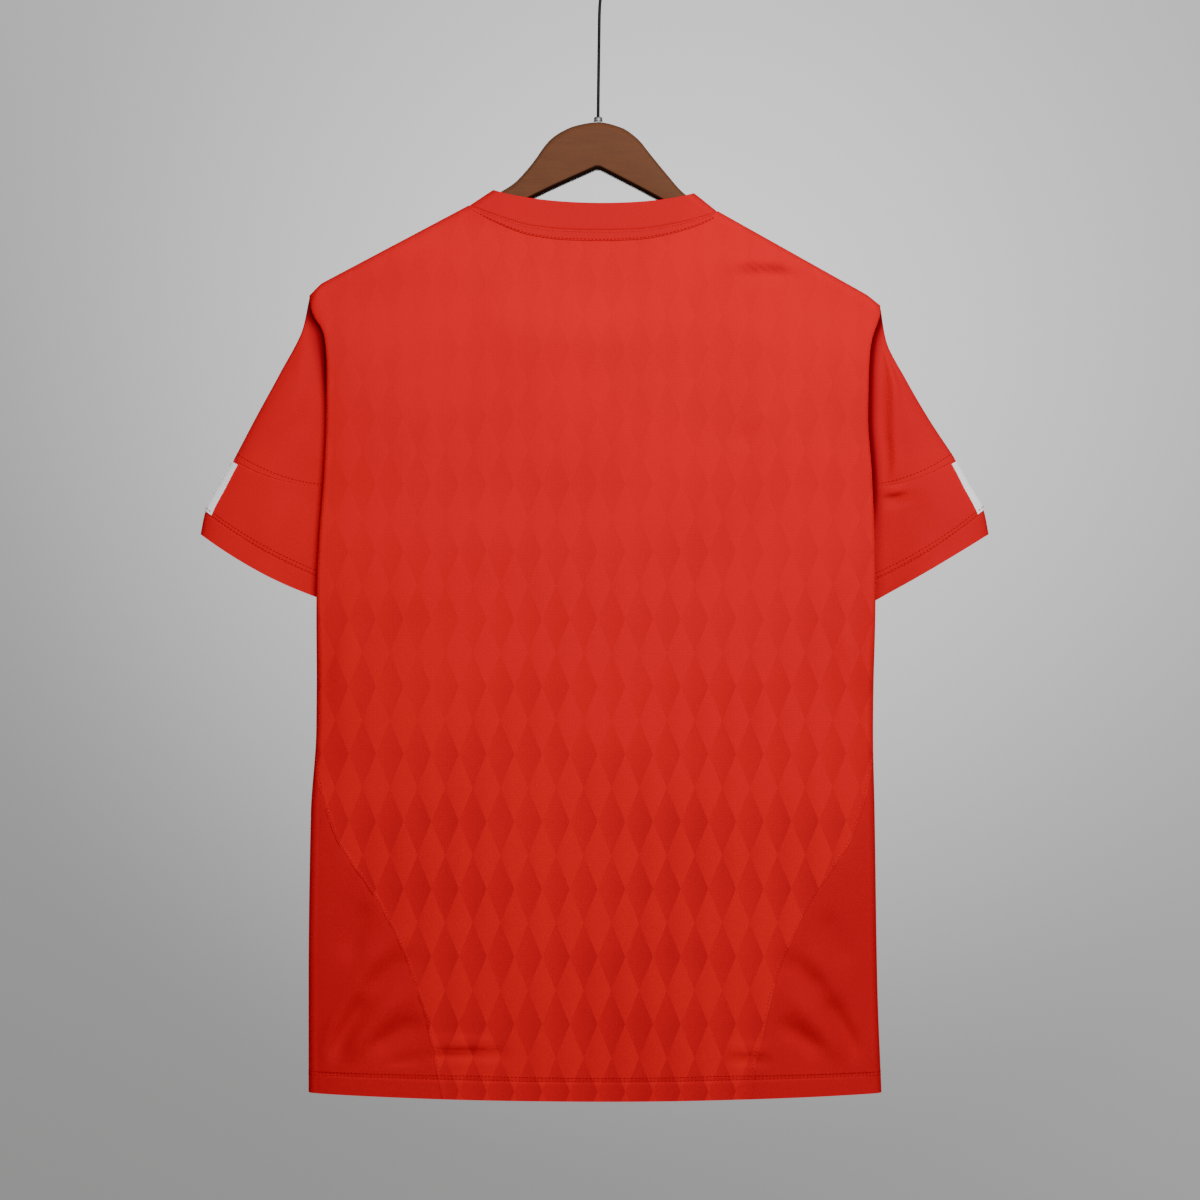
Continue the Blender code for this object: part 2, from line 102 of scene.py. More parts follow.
def buildCamera():
    made = bpy.data.cameras.new("camera")
    made.lens = camera["lens"]
    made.sensor_width = 36.0
    holder = addObject("camera", made)
    holder.location = Vector((camera["x"], -camera["distance"], camera["height"])) * mm
    holder.rotation_euler = (pi / 2, 0, 0)
    bpy.context.scene.camera = holder


# torso: the form that the panels, inserts, collar and stitches share

cloth = {"wall": 0.9, "seamGap": 0.08}

torso = {
    "hemSideZ": -955.0, "hemDrop": 5.5, "hemHalf": 240.0,
    "hemGroove": (0.5, 16.6, 1.2), "hemProud": (0.25, 15.8, 14.6),
    "tuckReach": 28.0, "tuckLap": 5.0, "sleeveSlot": 6.2,
    "slotTop": (-290.5, -306), "turnTop": (-308, -345), "slotFoot": (-615, -520),
    "fold": ((7.0, -3.0), (7.9, -4.4)),  # across and through: plain, and the change where turned in
    "shoulderRound": 9.0, "shoulderHalf": 9.2, "shoulderReach": 95, "tipSeam": 0.35, "tipSeamReach": 20,
    "neckBulge": 3.5, "neckReach": 110, "frontNeckDrop": 88.0, "frontNeckPower": 2.4,
    "sideDepth": 8.0, "tuckedDepth": 13.2, "tuckedTop": (-290, -350), "tuckedFoot": (-680, -490),
    "meet": 0.02, "meetFoot": (-446, -462), "lens": (2.3, 0.8),
    "ridge": (0.42, 1.0, 1.3), "ridgeDip": (-0.22, 0.0, 1.6),  # height, place from the seam, width
    "shoulder": {  # tip, bend and collar end of each shoulder line, as (x, z)
        -1: {"tip": (240.3, -290), "bend": (231, -280.3),
             "neck": (107.8, -215.0), "top": (86.9, -202.0)},
        1: {"tip": (235.8, -298.2), "bend": (225, -289.5),
            "neck": (100.7, -219.8), "top": (80.5, -204.7)},
    },
    "width": [  # z, left half width, right half width
        (-290, 240.4, 235.8), (-296, 239.9, 235.8), (-304.7, 238.3, 235.7), (-314.4, 235.4, 233.6),
        (-325.7, 230.6, 230.3), (-333.7, 227.8, 228.4), (-345, 226.3, 226.9), (-364, 225.3, 225.8),
        (-400, 225.5, 225.2), (-444, 227.3, 228.3), (-502, 231.7, 230.6), (-545, 233.8, 231.3),
        (-656, 234.6, 229.9), (-723, 239.1, 231.2), (-864, 241, 233.4), (-956, 241, 236.9),
    ],
    "depth": [  # z, back face, front face, from the middle plane
        (-215, 13, 13), (-300, 20, 22), (-420, 25, 27),
        (-620, 24, 24), (-800, 22, 21), (-960, 21, 19),
    ],
    "insert": [  # z, cloth from the side fold to the left seam, to the right seam
        (-668, 0.3, 0.3), (-677, 3, 3.4), (-690, 7, 7), (-715, 14.8, 13), (-748, 27, 25),
        (-778, 46, 43.5), (-804, 64, 61), (-838, 82, 78.5), (-866, 93, 90),
        (-895, 103, 98.5), (-926, 110.5, 108), (-956, 117, 114),
    ],
    "neckBack": [  # x, z of the back neck seam
        (-108, -215), (-85, -223.7), (-56, -232.6), (-26, -235.9), (5, -236.6),
        (34, -235.6), (64, -231.1), (94, -223), (101, -219.8),
    ],
    "across": 11, "round": 4, "strip": 2, "lap": 1,
    "neckRow": -300, "neckColumns": (0, 0.3, 0.58, 0.8, 0.93, 0.985, 1),
}


def twoCurves(rows):
    # the left or back column of a table, and the right or front one
    return {side: smoothCurve([(row[0], row[k]) for row in rows]) for side, k in ((-1, 1), (1, 2))}


halfWidth = twoCurves(torso["width"])
faceMiddle = twoCurves(torso["depth"])
insertReach = twoCurves(torso["insert"])
neckBack = smoothCurve(torso["neckBack"])
shoulderLine = {
    side: brokenLine([row["neck"], row["bend"], row["tip"]]) for side, row in torso["shoulder"].items()
}

tipZ = {side: row["tip"][1] for side, row in torso["shoulder"].items()}
neckFlat = {side: halfWidth[side](torso["neckRow"]) - torso["fold"][0][0] for side in (-1, 1)}


def sideOf(x):
    return -1 if x < 0 else 1


def sideName(side):
    return "Left" if side < 0 else "Right"


def neckShare(x):
    return min(1.0, abs(x) / torso["shoulder"][sideOf(x)]["neck"][0])


def topZ(x, face):
    side = sideOf(x)
    if neckShare(x) >= 1.0:
        return shoulderLine[side](abs(x))
    if face < 0:
        return neckBack(x)
    left, right = torso["shoulder"][-1]["neck"], torso["shoulder"][1]["neck"]
    line = left[1] + (right[1] - left[1]) * (x + left[0]) / (left[0] + right[0])
    return line - torso["frontNeckDrop"] * (1 - neckShare(x) ** torso["frontNeckPower"])


def hemZ(x):
    return torso["hemSideZ"] - torso["hemDrop"] * (1 - min(1.0, (x / torso["hemHalf"]) ** 2))


def foldZ(x):
    row = torso["shoulder"][sideOf(x)]
    if abs(x) >= row["neck"][0]:
        return shoulderLine[sideOf(x)](abs(x))
    slope = (row["top"][1] - row["neck"][1]) / (row["neck"][0] - row["top"][0])
    return row["neck"][1] + slope * (row["neck"][0] - abs(x))


def rounding(x, z):
    g = 1 - min(1.0, max(0.0, foldZ(x) - z) / torso["shoulderRound"])
    return sqrt(1 - g * g)


def slotAt(z):
    # half the way between the two panels' edges, open where the sleeve comes out
    opened = ease(*torso["slotTop"], z) * ease(*torso["slotFoot"], z)
    return cloth["seamGap"] / 2 + (torso["sleeveSlot"] - cloth["seamGap"] / 2) * opened


def turned(z):
    # how far the panels' side edges are turned in behind the fold
    return ease(*torso["turnTop"], z) * ease(*torso["slotFoot"], z)


def foldSize(z):
    t = turned(z)
    return [plain + change * t for plain, change in torso["fold"]]


def foldArc(z):
    # cloth round the side fold
    acrossFold, throughFold = foldSize(z)
    return pi / 2 * sqrt((acrossFold**2 + throughFold**2) / 2)


def edgeDepth(z):
    tucked = torso["tuckedDepth"] - torso["sideDepth"]
    return torso["sideDepth"] + tucked * ease(*torso["tuckedTop"], z) * ease(*torso["tuckedFoot"], z)


def faceDepth(x, z, face, share):
    outer, inner = torso["lens"]
    lens = (1 - min(1.0, share) ** outer) ** inner
    full = edgeDepth(z) + (faceMiddle[face](z) - edgeDepth(z)) * lens
    below = topZ(x, -1) - z
    nearNeck = torso["neckBulge"] * (1 - neckShare(x) ** 2) * ease(torso["neckReach"], 0, below)
    half = torso["shoulderHalf"]
    return half + (full - half) * ease(0, torso["shoulderReach"], below) + nearNeck


def columnShares(side):
    neck = torso["shoulder"][side]["neck"][0] / neckFlat[side]
    beyond = torso["across"] - len(torso["neckColumns"]) + 2
    return [neck * s for s in torso["neckColumns"]] + spread(neck, 1, beyond - 1)[1:]


shareAt = {side: brokenLine(list(enumerate(columnShares(side)))) for side in (-1, 1)}
columnAt = {side: brokenLine([(s, i) for i, s in enumerate(columnShares(side))]) for side in (-1, 1)}
lastColumn = torso["across"] + torso["round"]
tuckColumns = torso["strip"] + torso["lap"]


def levelShare(level):
    return (level - tipZ[-1]) / (torso["hemSideZ"] - tipZ[-1])


def sideLevel(side, level):
    return tipZ[side] + (torso["hemSideZ"] - tipZ[side]) * levelShare(level)


def sideRows(side):
    # the row whose side fold lies at a height, because the shoulder lifts the rows near the tip
    pairs = []
    for row in spread(tipZ[side], torso["hemSideZ"], 160):
        share = (row - tipZ[side]) / (torso["hemSideZ"] - tipZ[side])
        top = topZ(side * halfWidth[side](row), -1)
        pairs.append((top + (torso["hemSideZ"] - top) * share, row))
    return smoothCurve(pairs)


rowAt = {side: sideRows(side) for side in (-1, 1)}


def sideEdge(side, z):
    return halfWidth[side](rowAt[side](z))


def panelEnd(side, z, gap=0.0):
    # column of the panel's own edge: the side seam, or the insert's seam below it
    if z > torso["insert"][0][0]:
        return lastColumn + tuckColumns * min(1.0, 3 * turned(z))
    away, arc = insertReach[side](z) + gap, foldArc(z)
    if away < arc:
        return torso["across"] + torso["round"] * (1 - away / arc)
    flat = halfWidth[side](z) - foldSize(z)[0]
    return columnAt[side]((flat - (away - arc)) / flat)


# creases: soft ridges (+) and troughs (-) on the torso, each a short line
# x, z of the middle, length, width, angle from level in degrees, height

creaseForm = {
    "rise": 2.28, "bow": 0.0016,
    "drift": 0.55, "driftZ": (-300, -950), "waves": (31, 210, 77, 160), "frontShift": 1.3,
}
creases = {
    -1: [
        (134, -263.5, 56, 6.2, 0, 1.5), (139, -272, 44, 5.4, 0, -1.6), (138, -252, 44, 7, -3, 0.5),
        (-84, -290, 70, 9, 86, 0.4), (-104, -290, 64, 11, 82, -0.35), (-168, -262, 90, 14, 28, 0.6),
        (132, -396, 26, 6, 40, 0.5), (122, -406, 22, 6, 44, -0.5),
        (-30, -330, 110, 22, 10, 0.5), (60, -470, 150, 30, 24, 0.6), (-120, -520, 140, 28, 30, 0.6),
        (-208, -899, 56, 9, 61, -2.4), (-186, -896, 70, 9, 48, 2.2), (-168, -905, 42, 7, 33, -1.8),
        (-175, -853, 46, 9, 42, -1.6), (-201, -820, 44, 9, 70, -1.4), (-196, -856, 60, 9, 58, 1.4),
        (-222, -905, 60, 7, 66, 1.6), (-158, -927, 26, 3.5, 10, -0.9), (-114, -913, 46, 4.5, 2, 1.6),
        (-106, -921, 60, 4, 2, -1.5),
        (206, -900, 54, 9, -60, -2.2), (184, -898, 66, 9, -48, 2), (168, -907, 40, 7, -34, -1.6),
        (172, -856, 44, 9, -44, -1.5), (198, -826, 42, 9, -68, -1.2), (194, -860, 56, 9, -57, 1.3),
        (219, -908, 56, 7, -64, 1.4), (126, -918, 34, 5, -3, 0.9), (126, -926, 34, 4, -3, -0.9),
        (-60, -800, 260, 26, 88, 0.7), (40, -830, 240, 30, 92, 0.6), (118, -760, 220, 24, 84, 0.6),
        (-150, -700, 200, 26, 74, 0.7), (0, -640, 180, 34, 95, 0.4), (-214, -600, 70, 9, 66, 0.9),
        (212, -590, 64, 9, -68, 0.9),
    ],
    1: [
        (-128, -272, 58, 6, 10, 1.1), (138, -284, 50, 6, -14, 1.1), (-96, -330, 70, 9, 52, 0.8),
        (92, -336, 66, 9, -50, 0.8), (0, -352, 90, 16, 2, 0.6), (-50, -470, 150, 26, -22, 0.6),
        (110, -520, 130, 24, -32, 0.7), (-186, -894, 80, 10, 50, 2), (-206, -878, 66, 9, 56, -1.9),
        (188, -900, 84, 10, -47, 2), (208, -880, 62, 9, -55, -1.8), (-60, -820, 240, 26, 92, 0.7),
        (52, -800, 250, 28, 86, 0.7), (142, -720, 180, 24, 98, 0.6), (-140, -700, 200, 24, 80, 0.7),
        (-212, -596, 66, 9, 68, 0.9), (213, -592, 62, 9, -66, 0.9), (104, -926, 30, 5, -72, 0.7),
    ],
}


def creaseHeight(face, x, z):
    height = 0.0
    for midX, midZ, length, width, angle, rise in creases[face]:
        dx, dz = x - midX, z - midZ
        reach = length / 2 + 3 * width
        if abs(dx) > reach or abs(dz) > reach:
            continue
        turn = radians(angle)
        along = dx * cos(turn) + dz * sin(turn)
        off = dz * cos(turn) - dx * sin(turn) + creaseForm["bow"] * along * along
        height += creaseForm["rise"] * rise * exp(-((off / width) ** 2)) * exp(-((2 * along / length) ** 4))
    low = ease(*creaseForm["driftZ"], z)
    a, b, c, d = creaseForm["waves"]
    wave = sin(x / a + creaseForm["frontShift"] * face + z / b) * cos(x / c - z / d)
    return height + creaseForm["drift"] * low * wave


def seamRidge(side, rowZ, away):
    # the panel's edge stands a little proud along the insert's seam, and the insert dips beside it
    if rowZ > torso["insert"][1][0]:
        return 0.0
    inside = away + foldArc(rowZ) - insertReach[side](rowZ)
    height, place, width = torso["ridge" if inside >= 0 else "ridgeDip"]
    return height * exp(-(((inside - place) / width) ** 2))


def hemRelief(up):
    # a groove under the hem's stitches, and the turned edge that stands proud below it
    depth, middle, width = torso["hemGroove"]
    proud, start, full = torso["hemProud"]
    return -depth * exp(-(((up - middle) / width) ** 2)) + proud * ease(start, full, up)


def torsoPoint(side, face, rowZ, share, index):
    # share runs from the shoulder to the hem, index counts the columns out from the middle
    acrossFold, throughFold = foldSize(rowZ)
    flat = halfWidth[side](rowZ) - acrossFold
    end = slotAt(rowZ)
    sweep = pi / 2 * (1 + turned(rowZ))
    foldMiddle = end - throughFold * cos(sweep)
    foldDepth = foldMiddle + throughFold
    past = index - torso["across"]
    x = flat * shareAt[side](index)
    angle = sweep * min(1.0, max(0.0, past) / torso["round"])
    reach = x + (acrossFold * sin(min(angle, pi / 2)) if past > 0 else 0)
    top = topZ(side * reach, face)
    bottom = hemZ(side * reach)
    z = top + (bottom - top) * share
    tip = torso["tipSeam"] * ease(-1, 1, past)
    seam = cloth["seamGap"] / 2 + tip * ease(torso["tipSeamReach"], 0, top - z)
    if past <= 0:
        y = faceDepth(side * x, z, face, x / flat) * rounding(side * x, z)
        crease = creaseHeight(face, side * x, z) * ease(4, 16, top - z) * ease(0, 14, flat - x)
        hem = hemRelief(z - bottom) if x < flat else 0
        y += crease + hem + seamRidge(side, rowZ, flat - x)
    else:
        depth = faceDepth(side * flat, z, face, 1.0)
        x = flat + acrossFold * sin(angle)
        y = end + (foldMiddle + throughFold * cos(angle) - end) * (depth - end) / (foldDepth - end)
        tucked = past - torso["round"]
        x -= torso["tuckReach"] * turned(rowZ) * min(1.0, max(0.0, tucked) / torso["strip"])
        x -= torso["tuckLap"] * turned(rowZ) * max(0.0, tucked - torso["strip"])
        own = max(0.1, tuckColumns * min(1.0, 3 * turned(rowZ)))
        y += (torso["meet"] - y) * ease(0.6, 1, tucked / own) * ease(*torso["meetFoot"], rowZ)
        y = seam + (y - seam) * rounding(side * reach, z)
    return Vector((side * x, face * max(y, seam), z))


# making a cloth wall from a grid, and putting small things on it

def newPiece(name, data, look, nodes=()):
    data.materials.append(look)
    made = addObject(name, data)
    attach(made, "root")
    if nodes:
        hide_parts(*nodes)
    return made


def toMesh(name, bm):
    mesh = bpy.data.meshes.new(name)
    bm.to_mesh(mesh)
    bm.free()
    mesh.shade_smooth()
    return mesh


def gridMesh(points, closed=False, capped=False):
    rows, columns = len(points), len(points[0])
    wide = columns + 1 if closed else columns
    bm = bmesh.new()
    bmesh.ops.create_grid(bm, x_segments=wide - 1, y_segments=rows - 1, size=1)
    ordered = sorted(bm.verts, key=lambda v: (round(v.co.y, 6), v.co.x))
    for i, vertex in enumerate(ordered):
        vertex.co = points[i // wide][i % wide % columns] * mm
    bmesh.ops.remove_doubles(bm, verts=bm.verts, dist=1e-7)
    if capped:
        bmesh.ops.holes_fill(bm, edges=[e for e in bm.edges if e.is_boundary], sides=0)
    bmesh.ops.recalc_face_normals(bm, faces=bm.faces)
    return bm


def clothPiece(name, points, look, node, wall=cloth["wall"], closed=False):
    bm = gridMesh(points, closed)
    for edge in bm.edges:  # a crisp cut edge, so that the light doesn't roll over it
        edge.smooth = not edge.is_boundary
    made = newPiece(name, toMesh(name, bm), look, [node])
    solid = made.modifiers.new("wall", "SOLIDIFY")
    solid.thickness = wall * mm
    solid.offset = 0
    return made


# sleeves: rings from the armhole to the cuff's edge

sleeve = {
    "ring": ("topX", "topZ", "underZ", "bow", "depth", "armhole"),
    -1: [
        (240.7, -291.4, -442, 0, 4.5, 1), (245.9, -317, -443, 2, 9, 0.72),
        (265.4, -355.6, -444, 5, 12.5, 0.40), (284.5, -391, -445, 8, 14.5, 0.14),
        (303.6, -427.5, -447, 10, 15, 0), (314.5, -447, -486, 8.5, 15, 0),
        (327.3, -471, -534, 6.5, 15.5, 0), (331.1, -489.2, -550, 7, 16.5, 0),
    ],
    1: [
        (236.2, -299.4, -442, 0, 4.5, 1), (241, -327, -443, 2, 9, 0.72),
        (258.5, -362, -444, 5, 12.5, 0.40), (277, -394, -445, 8, 14.5, 0.14),
        (298.5, -427, -447, 10, 15, 0), (309.5, -446.5, -486, 8.5, 15, 0),
        (322.4, -470, -538, 6.5, 15.5, 0), (326.3, -489.2, -559, 1, 16.5, 0),
    ],
    "crossSeam": 4, "cuffSeam": 6, "cuffEdge": 7, "seamGap": 0.011, "rows": (72, 44, 24),
    "inset": (6, 31, 25), "insetMiddle": (-306, -345), "insetUnderarm": (-425, -442),  # tip, middle, underarm
    "tipFlare": 3.2, "bluntZ": (-345, -314), "round": 0.7, "blunt": 0.5,
    "clearFrom": (4, 3), "clearTo": (52, -28), "valley": (-440, -350), "puff": 1.5,
    "under": ((0.14, 1.1), (0.05, 1.1), (0.005, 0.825)),  # seam allowance: place above the seam, depth
    "armholeShade": {  # reach and strength of the painted shade by the armhole: least, growth, and between which heights
        -1: ((6, 10, -385, -325), (0.35, 0.55, -410, -355)),
        1: ((11, 0, -385, -325), (0.5, 0.5, -500, -450)),
    },
    "armholeShadeFoot": (-600, -440),
    "bandReach": 0.44, "bandWall": 0.8, "bandGap": 0.15, "bandEnd": 0.06,
}

ringCurve = {
    side: {
        name: smoothCurve([(i, row[k]) for i, row in enumerate(sleeve[side])])
        for k, name in enumerate(sleeve["ring"])
    }
    for side in (-1, 1)
}

# creases on the sleeves, by place down the sleeve and angle round it
sleeveCreases = {
    # place, angle, length in places, width in degrees, slant, height
    -1: [(2.2, 92, 1.5, 13, 10, 1.5), (2.9, 58, 1.8, 10, -8, -1.0), (1.5, 118, 1.2, 12, 6, -0.9),
         (4.9, 120, 1.2, 12, 4, -1.4), (5.2, 86, 1.4, 12, -6, 0.9), (5, 152, 0.9, 8, 0, 0.8),
         (2.4, 252, 1.7, 14, 8, 1.4), (4.8, 238, 1.3, 12, -5, -1.2), (3.2, 300, 1.6, 11, 4, 0.8)],
    1: [(2.5, 56, 2.7, 7, 30, 2.0), (2.7, 80, 2.4, 14, 27, -1.8), (1.6, 130, 1.1, 12, 5, 0.9),
        (4.24, 101, 0.34, 13, 0, 1.6), (4.52, 99, 0.34, 12, 0, -1.6), (5, 112, 1.3, 12, 6, 1),
        (5.2, 76, 1.2, 10, -4, -0.8), (2.5, 262, 1.6, 13, -6, 1.5), (4.9, 248, 1.3, 12, 5, -1.1),
        (3, 306, 1.6, 11, 4, 0.8)],
}


def armholeX(side, z):
    top = sleeve[side][0][1]
    tip, middle, underarm = sleeve["inset"]
    inset = tip * ease(top + 0.5, top - 5, z) + (middle - tip) * ease(*sleeve["insetMiddle"], z)
    inset -= (middle - underarm) * ease(*sleeve["insetUnderarm"], z)
    return sideEdge(side, z) - inset


def sleevePuff(side, place, angle):
    degrees = angle * 180 / pi % 360
    puff = 0.0
    for atPlace, atAngle, length, width, slant, rise in sleeveCreases[side]:
        along = 2 * (place - atPlace) / length
        off = (degrees - atAngle - slant * (place - atPlace)) / width
        puff += sleeve["puff"] * rise * exp(-along**4) * exp(-off * off)
    return puff * ease(0, 22, degrees) * ease(360, 338, degrees) * ease(4, 26, abs(degrees - 180))


def sleevePoint(side, place, angle):
    # angle 0 is the top fold, pi the underarm fold, the back lies between them
    at = {name: curve(place) for name, curve in ringCurve[side].items()}
    u = cos(angle)
    mix = (u + 1) / 2
    underX = halfWidth[side](at["underZ"]) - sleeve["inset"][2]
    x = underX + (at["topX"] - underX) * mix
    z = at["underZ"] + (at["topZ"] - at["underZ"]) * mix - at["bow"] * (1 - u * u)
    first = sleeve[side][0]
    if at["armhole"] > 0:
        lowX = halfWidth[side](first[2]) - sleeve["inset"][2]
        chordX = lowX + (first[0] - lowX) * mix
        chordZ = first[2] + (first[1] - first[2]) * mix
        x += at["armhole"] * (armholeX(side, chordZ) - chordX)
    inner = max(0.15, slotAt(rowAt[side](z)) - 1.0)
    clear = x - sideEdge(side, z)
    valley = ease(*sleeve["valley"], z)
    rise = ease(*(least + more * valley for least, more in (sleeve["clearFrom"], sleeve["clearTo"])), clear)
    half = inner + (max(at["depth"], inner) - inner) * rise
    face = -1 if sin(angle) > 0 else 1
    blunt = at["armhole"] * ease(*sleeve["bluntZ"], z)
    y = half * abs(sin(angle)) ** (sleeve["round"] - sleeve["blunt"] * blunt) * face
    y += face * sleeve["tipFlare"] * blunt * ease(0.5, 0.05, place) * abs(sin(angle)) ** 0.3
    y += face * sleevePuff(side, place, angle) * ease(3, 20, clear)
    return Vector((side * x, y, z))


def sleeveGrid(side, low, high, rows, tucked, around=120):
    # a tucked piece carries its seam allowance on, under the piece above it
    angles = [2 * pi * i / around for i in range(around)]
    grid = []
    for up, sink in sleeve["under"] if tucked else ():
        grid.append([sleevePoint(side, low - up, angle) - sleeveOutward(side, low - up, angle) * sink
                     for angle in angles])
    return grid + [[sleevePoint(side, place, angle) for angle in angles] for place in spread(low, high, rows)]


def sleeveOutward(side, place, angle):
    along = sleevePoint(side, place, angle + 0.02) - sleevePoint(side, place, angle - 0.02)
    down = sleevePoint(side, place + 0.05, angle) - sleevePoint(side, place - 0.05, angle)
    out = along.cross(down).normalized()
    ahead = -out.y * sin(angle)
    if abs(sin(angle)) <= 0.1:
        middle = (sleevePoint(side, place, 0) + sleevePoint(side, place, pi)) / 2
        ahead = out.dot(sleevePoint(side, place, angle) - middle)
    return out if ahead > 0 else -out


def bandPoint(side, place, angle):
    # the middle of the white band's own cloth, and the direction out of it
    out = sleeveOutward(side, place, angle)
    lift = cloth["wall"] / 2 + sleeve["bandGap"] + sleeve["bandWall"] / 2
    return sleevePoint(side, place, angle) + out * lift, out


# collar and neck tape

collar = {
    "topDip": 10.3, "frontHeight": 20.0, "frontSideHeight": 13, "frontDip": 3, "around": 220, "rows": 12,
    "under": (-0.16, -0.07, -0.01), "underDepth": 1.1,
    "tapeWidth": 8.6, "tapeWall": 0.8, "tapeEnds": (-105.0, 98.5), "tapeProud": 0.95, "tapeSink": 0.15,
    "tapeMerge": (82, 103),
}


def collarPoint(angle, height):
    # angle 0 is the left end, pi the right end, the back of the neck lies between them
    across = (1 - cos(angle)) / 2
    left, right = (torso["shoulder"][side]["neck"][0] - 1.2 for side in (-1, 1))
    topLeft, topRight = torso["shoulder"][-1]["top"], torso["shoulder"][1]["top"]
    bulge = abs(sin(angle))
    face = -1 if sin(angle) > 0 else 1
    lowX = (left + right) * across - left
    lowZ = topZ(lowX, face) + cloth["seamGap"]
    if face > 0:
        lowX *= 0.984  # the lower front leans in
    lowZ = min(lowZ, foldZ(lowX))
    highX = (topLeft[0] + topRight[0]) * across - topLeft[0]
    line = topLeft[1] + (topRight[1] - topLeft[1]) * across
    highZ = line - collar["topDip"] * bulge**1.5
    if face > 0:
        highX += (lowX - highX) * 0.25 * bulge
        side, middle = collar["frontSideHeight"], collar["frontHeight"]
        highZ = min(line - collar["frontDip"] * bulge, lowZ + side + (middle - side) * bulge)
    x = lowX + (highX - lowX) * height
    z = lowZ + (highZ - lowZ) * height
    y = faceDepth(x, min(z, topZ(x, -1)), face, abs(x) / neckFlat[-1])
    return Vector((x, face * y * rounding(x, z), z))


def tapePoint(x, share):
    merged = ease(*collar["tapeMerge"], abs(x))
    offset = collar["tapeProud"] * (1 - merged) - collar["tapeSink"]
    width = collar["tapeWidth"] * (1 - 0.6 * (abs(x) / 104) ** 3)
    drop = 0.3 + (width - 0.3) * share
    z = topZ(x, -1) - drop
    depth = faceDepth(x, z, -1, abs(x) / neckFlat[sideOf(x)])
    return Vector((x, -depth * rounding(x, z) - offset, z))


# hanger: one moulded bar, a small collar on top and a wire hook

hanger = {
    "halfThick": 7.5, "topCorner": 6.8, "lowCorner": 4.6, "around": 48, "rings": 180,
    "arm": [  # x, top, bottom
        (-225, -280.2, -286), (-220, -276.2, -289), (-200, -265, -281),
        (-160, -244, -262), (-106, -218.4, -235.5), (-80.7, -203.1, -222.8),
        (-70.1, -196.4, -217.5), (-55.3, -180.5, -210.1),
        (-40.3, -160.5, -202.7), (-31.4, -153.8, -198.6), (-18, -147.9, -192.6), (0.4, -145, -184.4),
        (19.4, -149.3, -194.2), (34.4, -159.6, -201.9), (41.8, -168.8, -205.9), (56.8, -187.2, -214),
        (71.6, -203.9, -221.9), (98, -221.9, -236.7), (150, -249.9, -265.5), (195, -275.8, -290),
        (217, -288.3, -300.5), (222, -291.4, -298),
    ],
    "ferruleX": 0.5, "ferruleFoot": -144.6, "ferruleRadius": 4.0, "ferruleHeight": 4.0,
    "wireRadius": 1.3, "hookRadius": 17.0, "shadeFrom": -0.12, "shadeFull": -0.4,
    "shank": [
        (0.5, -141.5), (0.8, -110), (1.3, -75), (1.7, -44), (3.9, -37.5), (9.5, -31.5), (15.4, -26),
    ],
    "hookEnd": (-19.5, -26.0),
}


def buildHanger(look):
    top = smoothCurve([(x, high) for x, high, low in hanger["arm"]])
    bottom = brokenLine([(x, low) for x, high, low in hanger["arm"]])
    first, last = hanger["arm"][0][0], hanger["arm"][-1][0]
    middle, half = (first + last) / 2, (last - first) / 2
    points = []
    for k in range(hanger["rings"] + 1):
        x = middle - half * cos(pi * k / hanger["rings"])
        tall = (top(x) - bottom(x)) / 2
        ring = []
        for i in range(hanger["around"]):
            turn = 2 * pi * (i + 0.5) / hanger["around"]
            right, up = (1 if cos(turn) > 0 else -1), (1 if sin(turn) > 0 else -1)
            corner = hanger["topCorner"] if up > 0 else hanger["lowCorner"]
            high = min(corner, tall)
            y = (hanger["halfThick"] - corner) * right + corner * cos(turn)
            z = (top(x) + bottom(x)) / 2 + (tall - high) * up + high * sin(turn)
            ring.append(Vector((x, y, z)))
        points.append(ring)
    mesh = toMesh("hangerBody", gridMesh(points, closed=True, capped=True))
    made = newPiece("hangerBody", mesh, look, ["hanger_body"])
    # painted shade: the faces that look down are marked for the bar's near-black shade colour
    under = made.data.attributes.new("under", "FLOAT", "POINT")
    for vertex, place in zip(made.data.vertices, under.data):
        place.value = ease(hanger["shadeFrom"], hanger["shadeFull"], vertex.normal.z)


def buildFerrule(look):
    # a turned collar: its profile is spun round the wire
    radius, height = hanger["ferruleRadius"], hanger["ferruleHeight"]
    profile = [(0, 0), (radius, 0), (radius, 0.5), (radius - 0.4, 0.9), (radius - 0.4, height - 0.9),
               (radius - 0.9, height - 0.3), (radius - 1.6, height), (0, height)]
    middle = Vector((hanger["ferruleX"], 0, hanger["ferruleFoot"]))
    bm = bmesh.new()
    verts = [bm.verts.new((middle + Vector((r, 0, z))) * mm) for r, z in profile]
    edges = [bm.edges.new(pair) for pair in zip(verts, verts[1:])]
    bmesh.ops.spin(bm, geom=verts + edges, cent=middle * mm, axis=(0, 0, 1), angle=2 * pi,
                   steps=40, use_merge=True)
    bmesh.ops.remove_doubles(bm, verts=bm.verts, dist=1e-6)
    bmesh.ops.recalc_face_normals(bm, faces=bm.faces)
    made = newPiece("hookFerrule", toMesh("hookFerrule", bm), look, ["hook_ferrule"])
    made.data.set_sharp_from_angle(angle=radians(40))


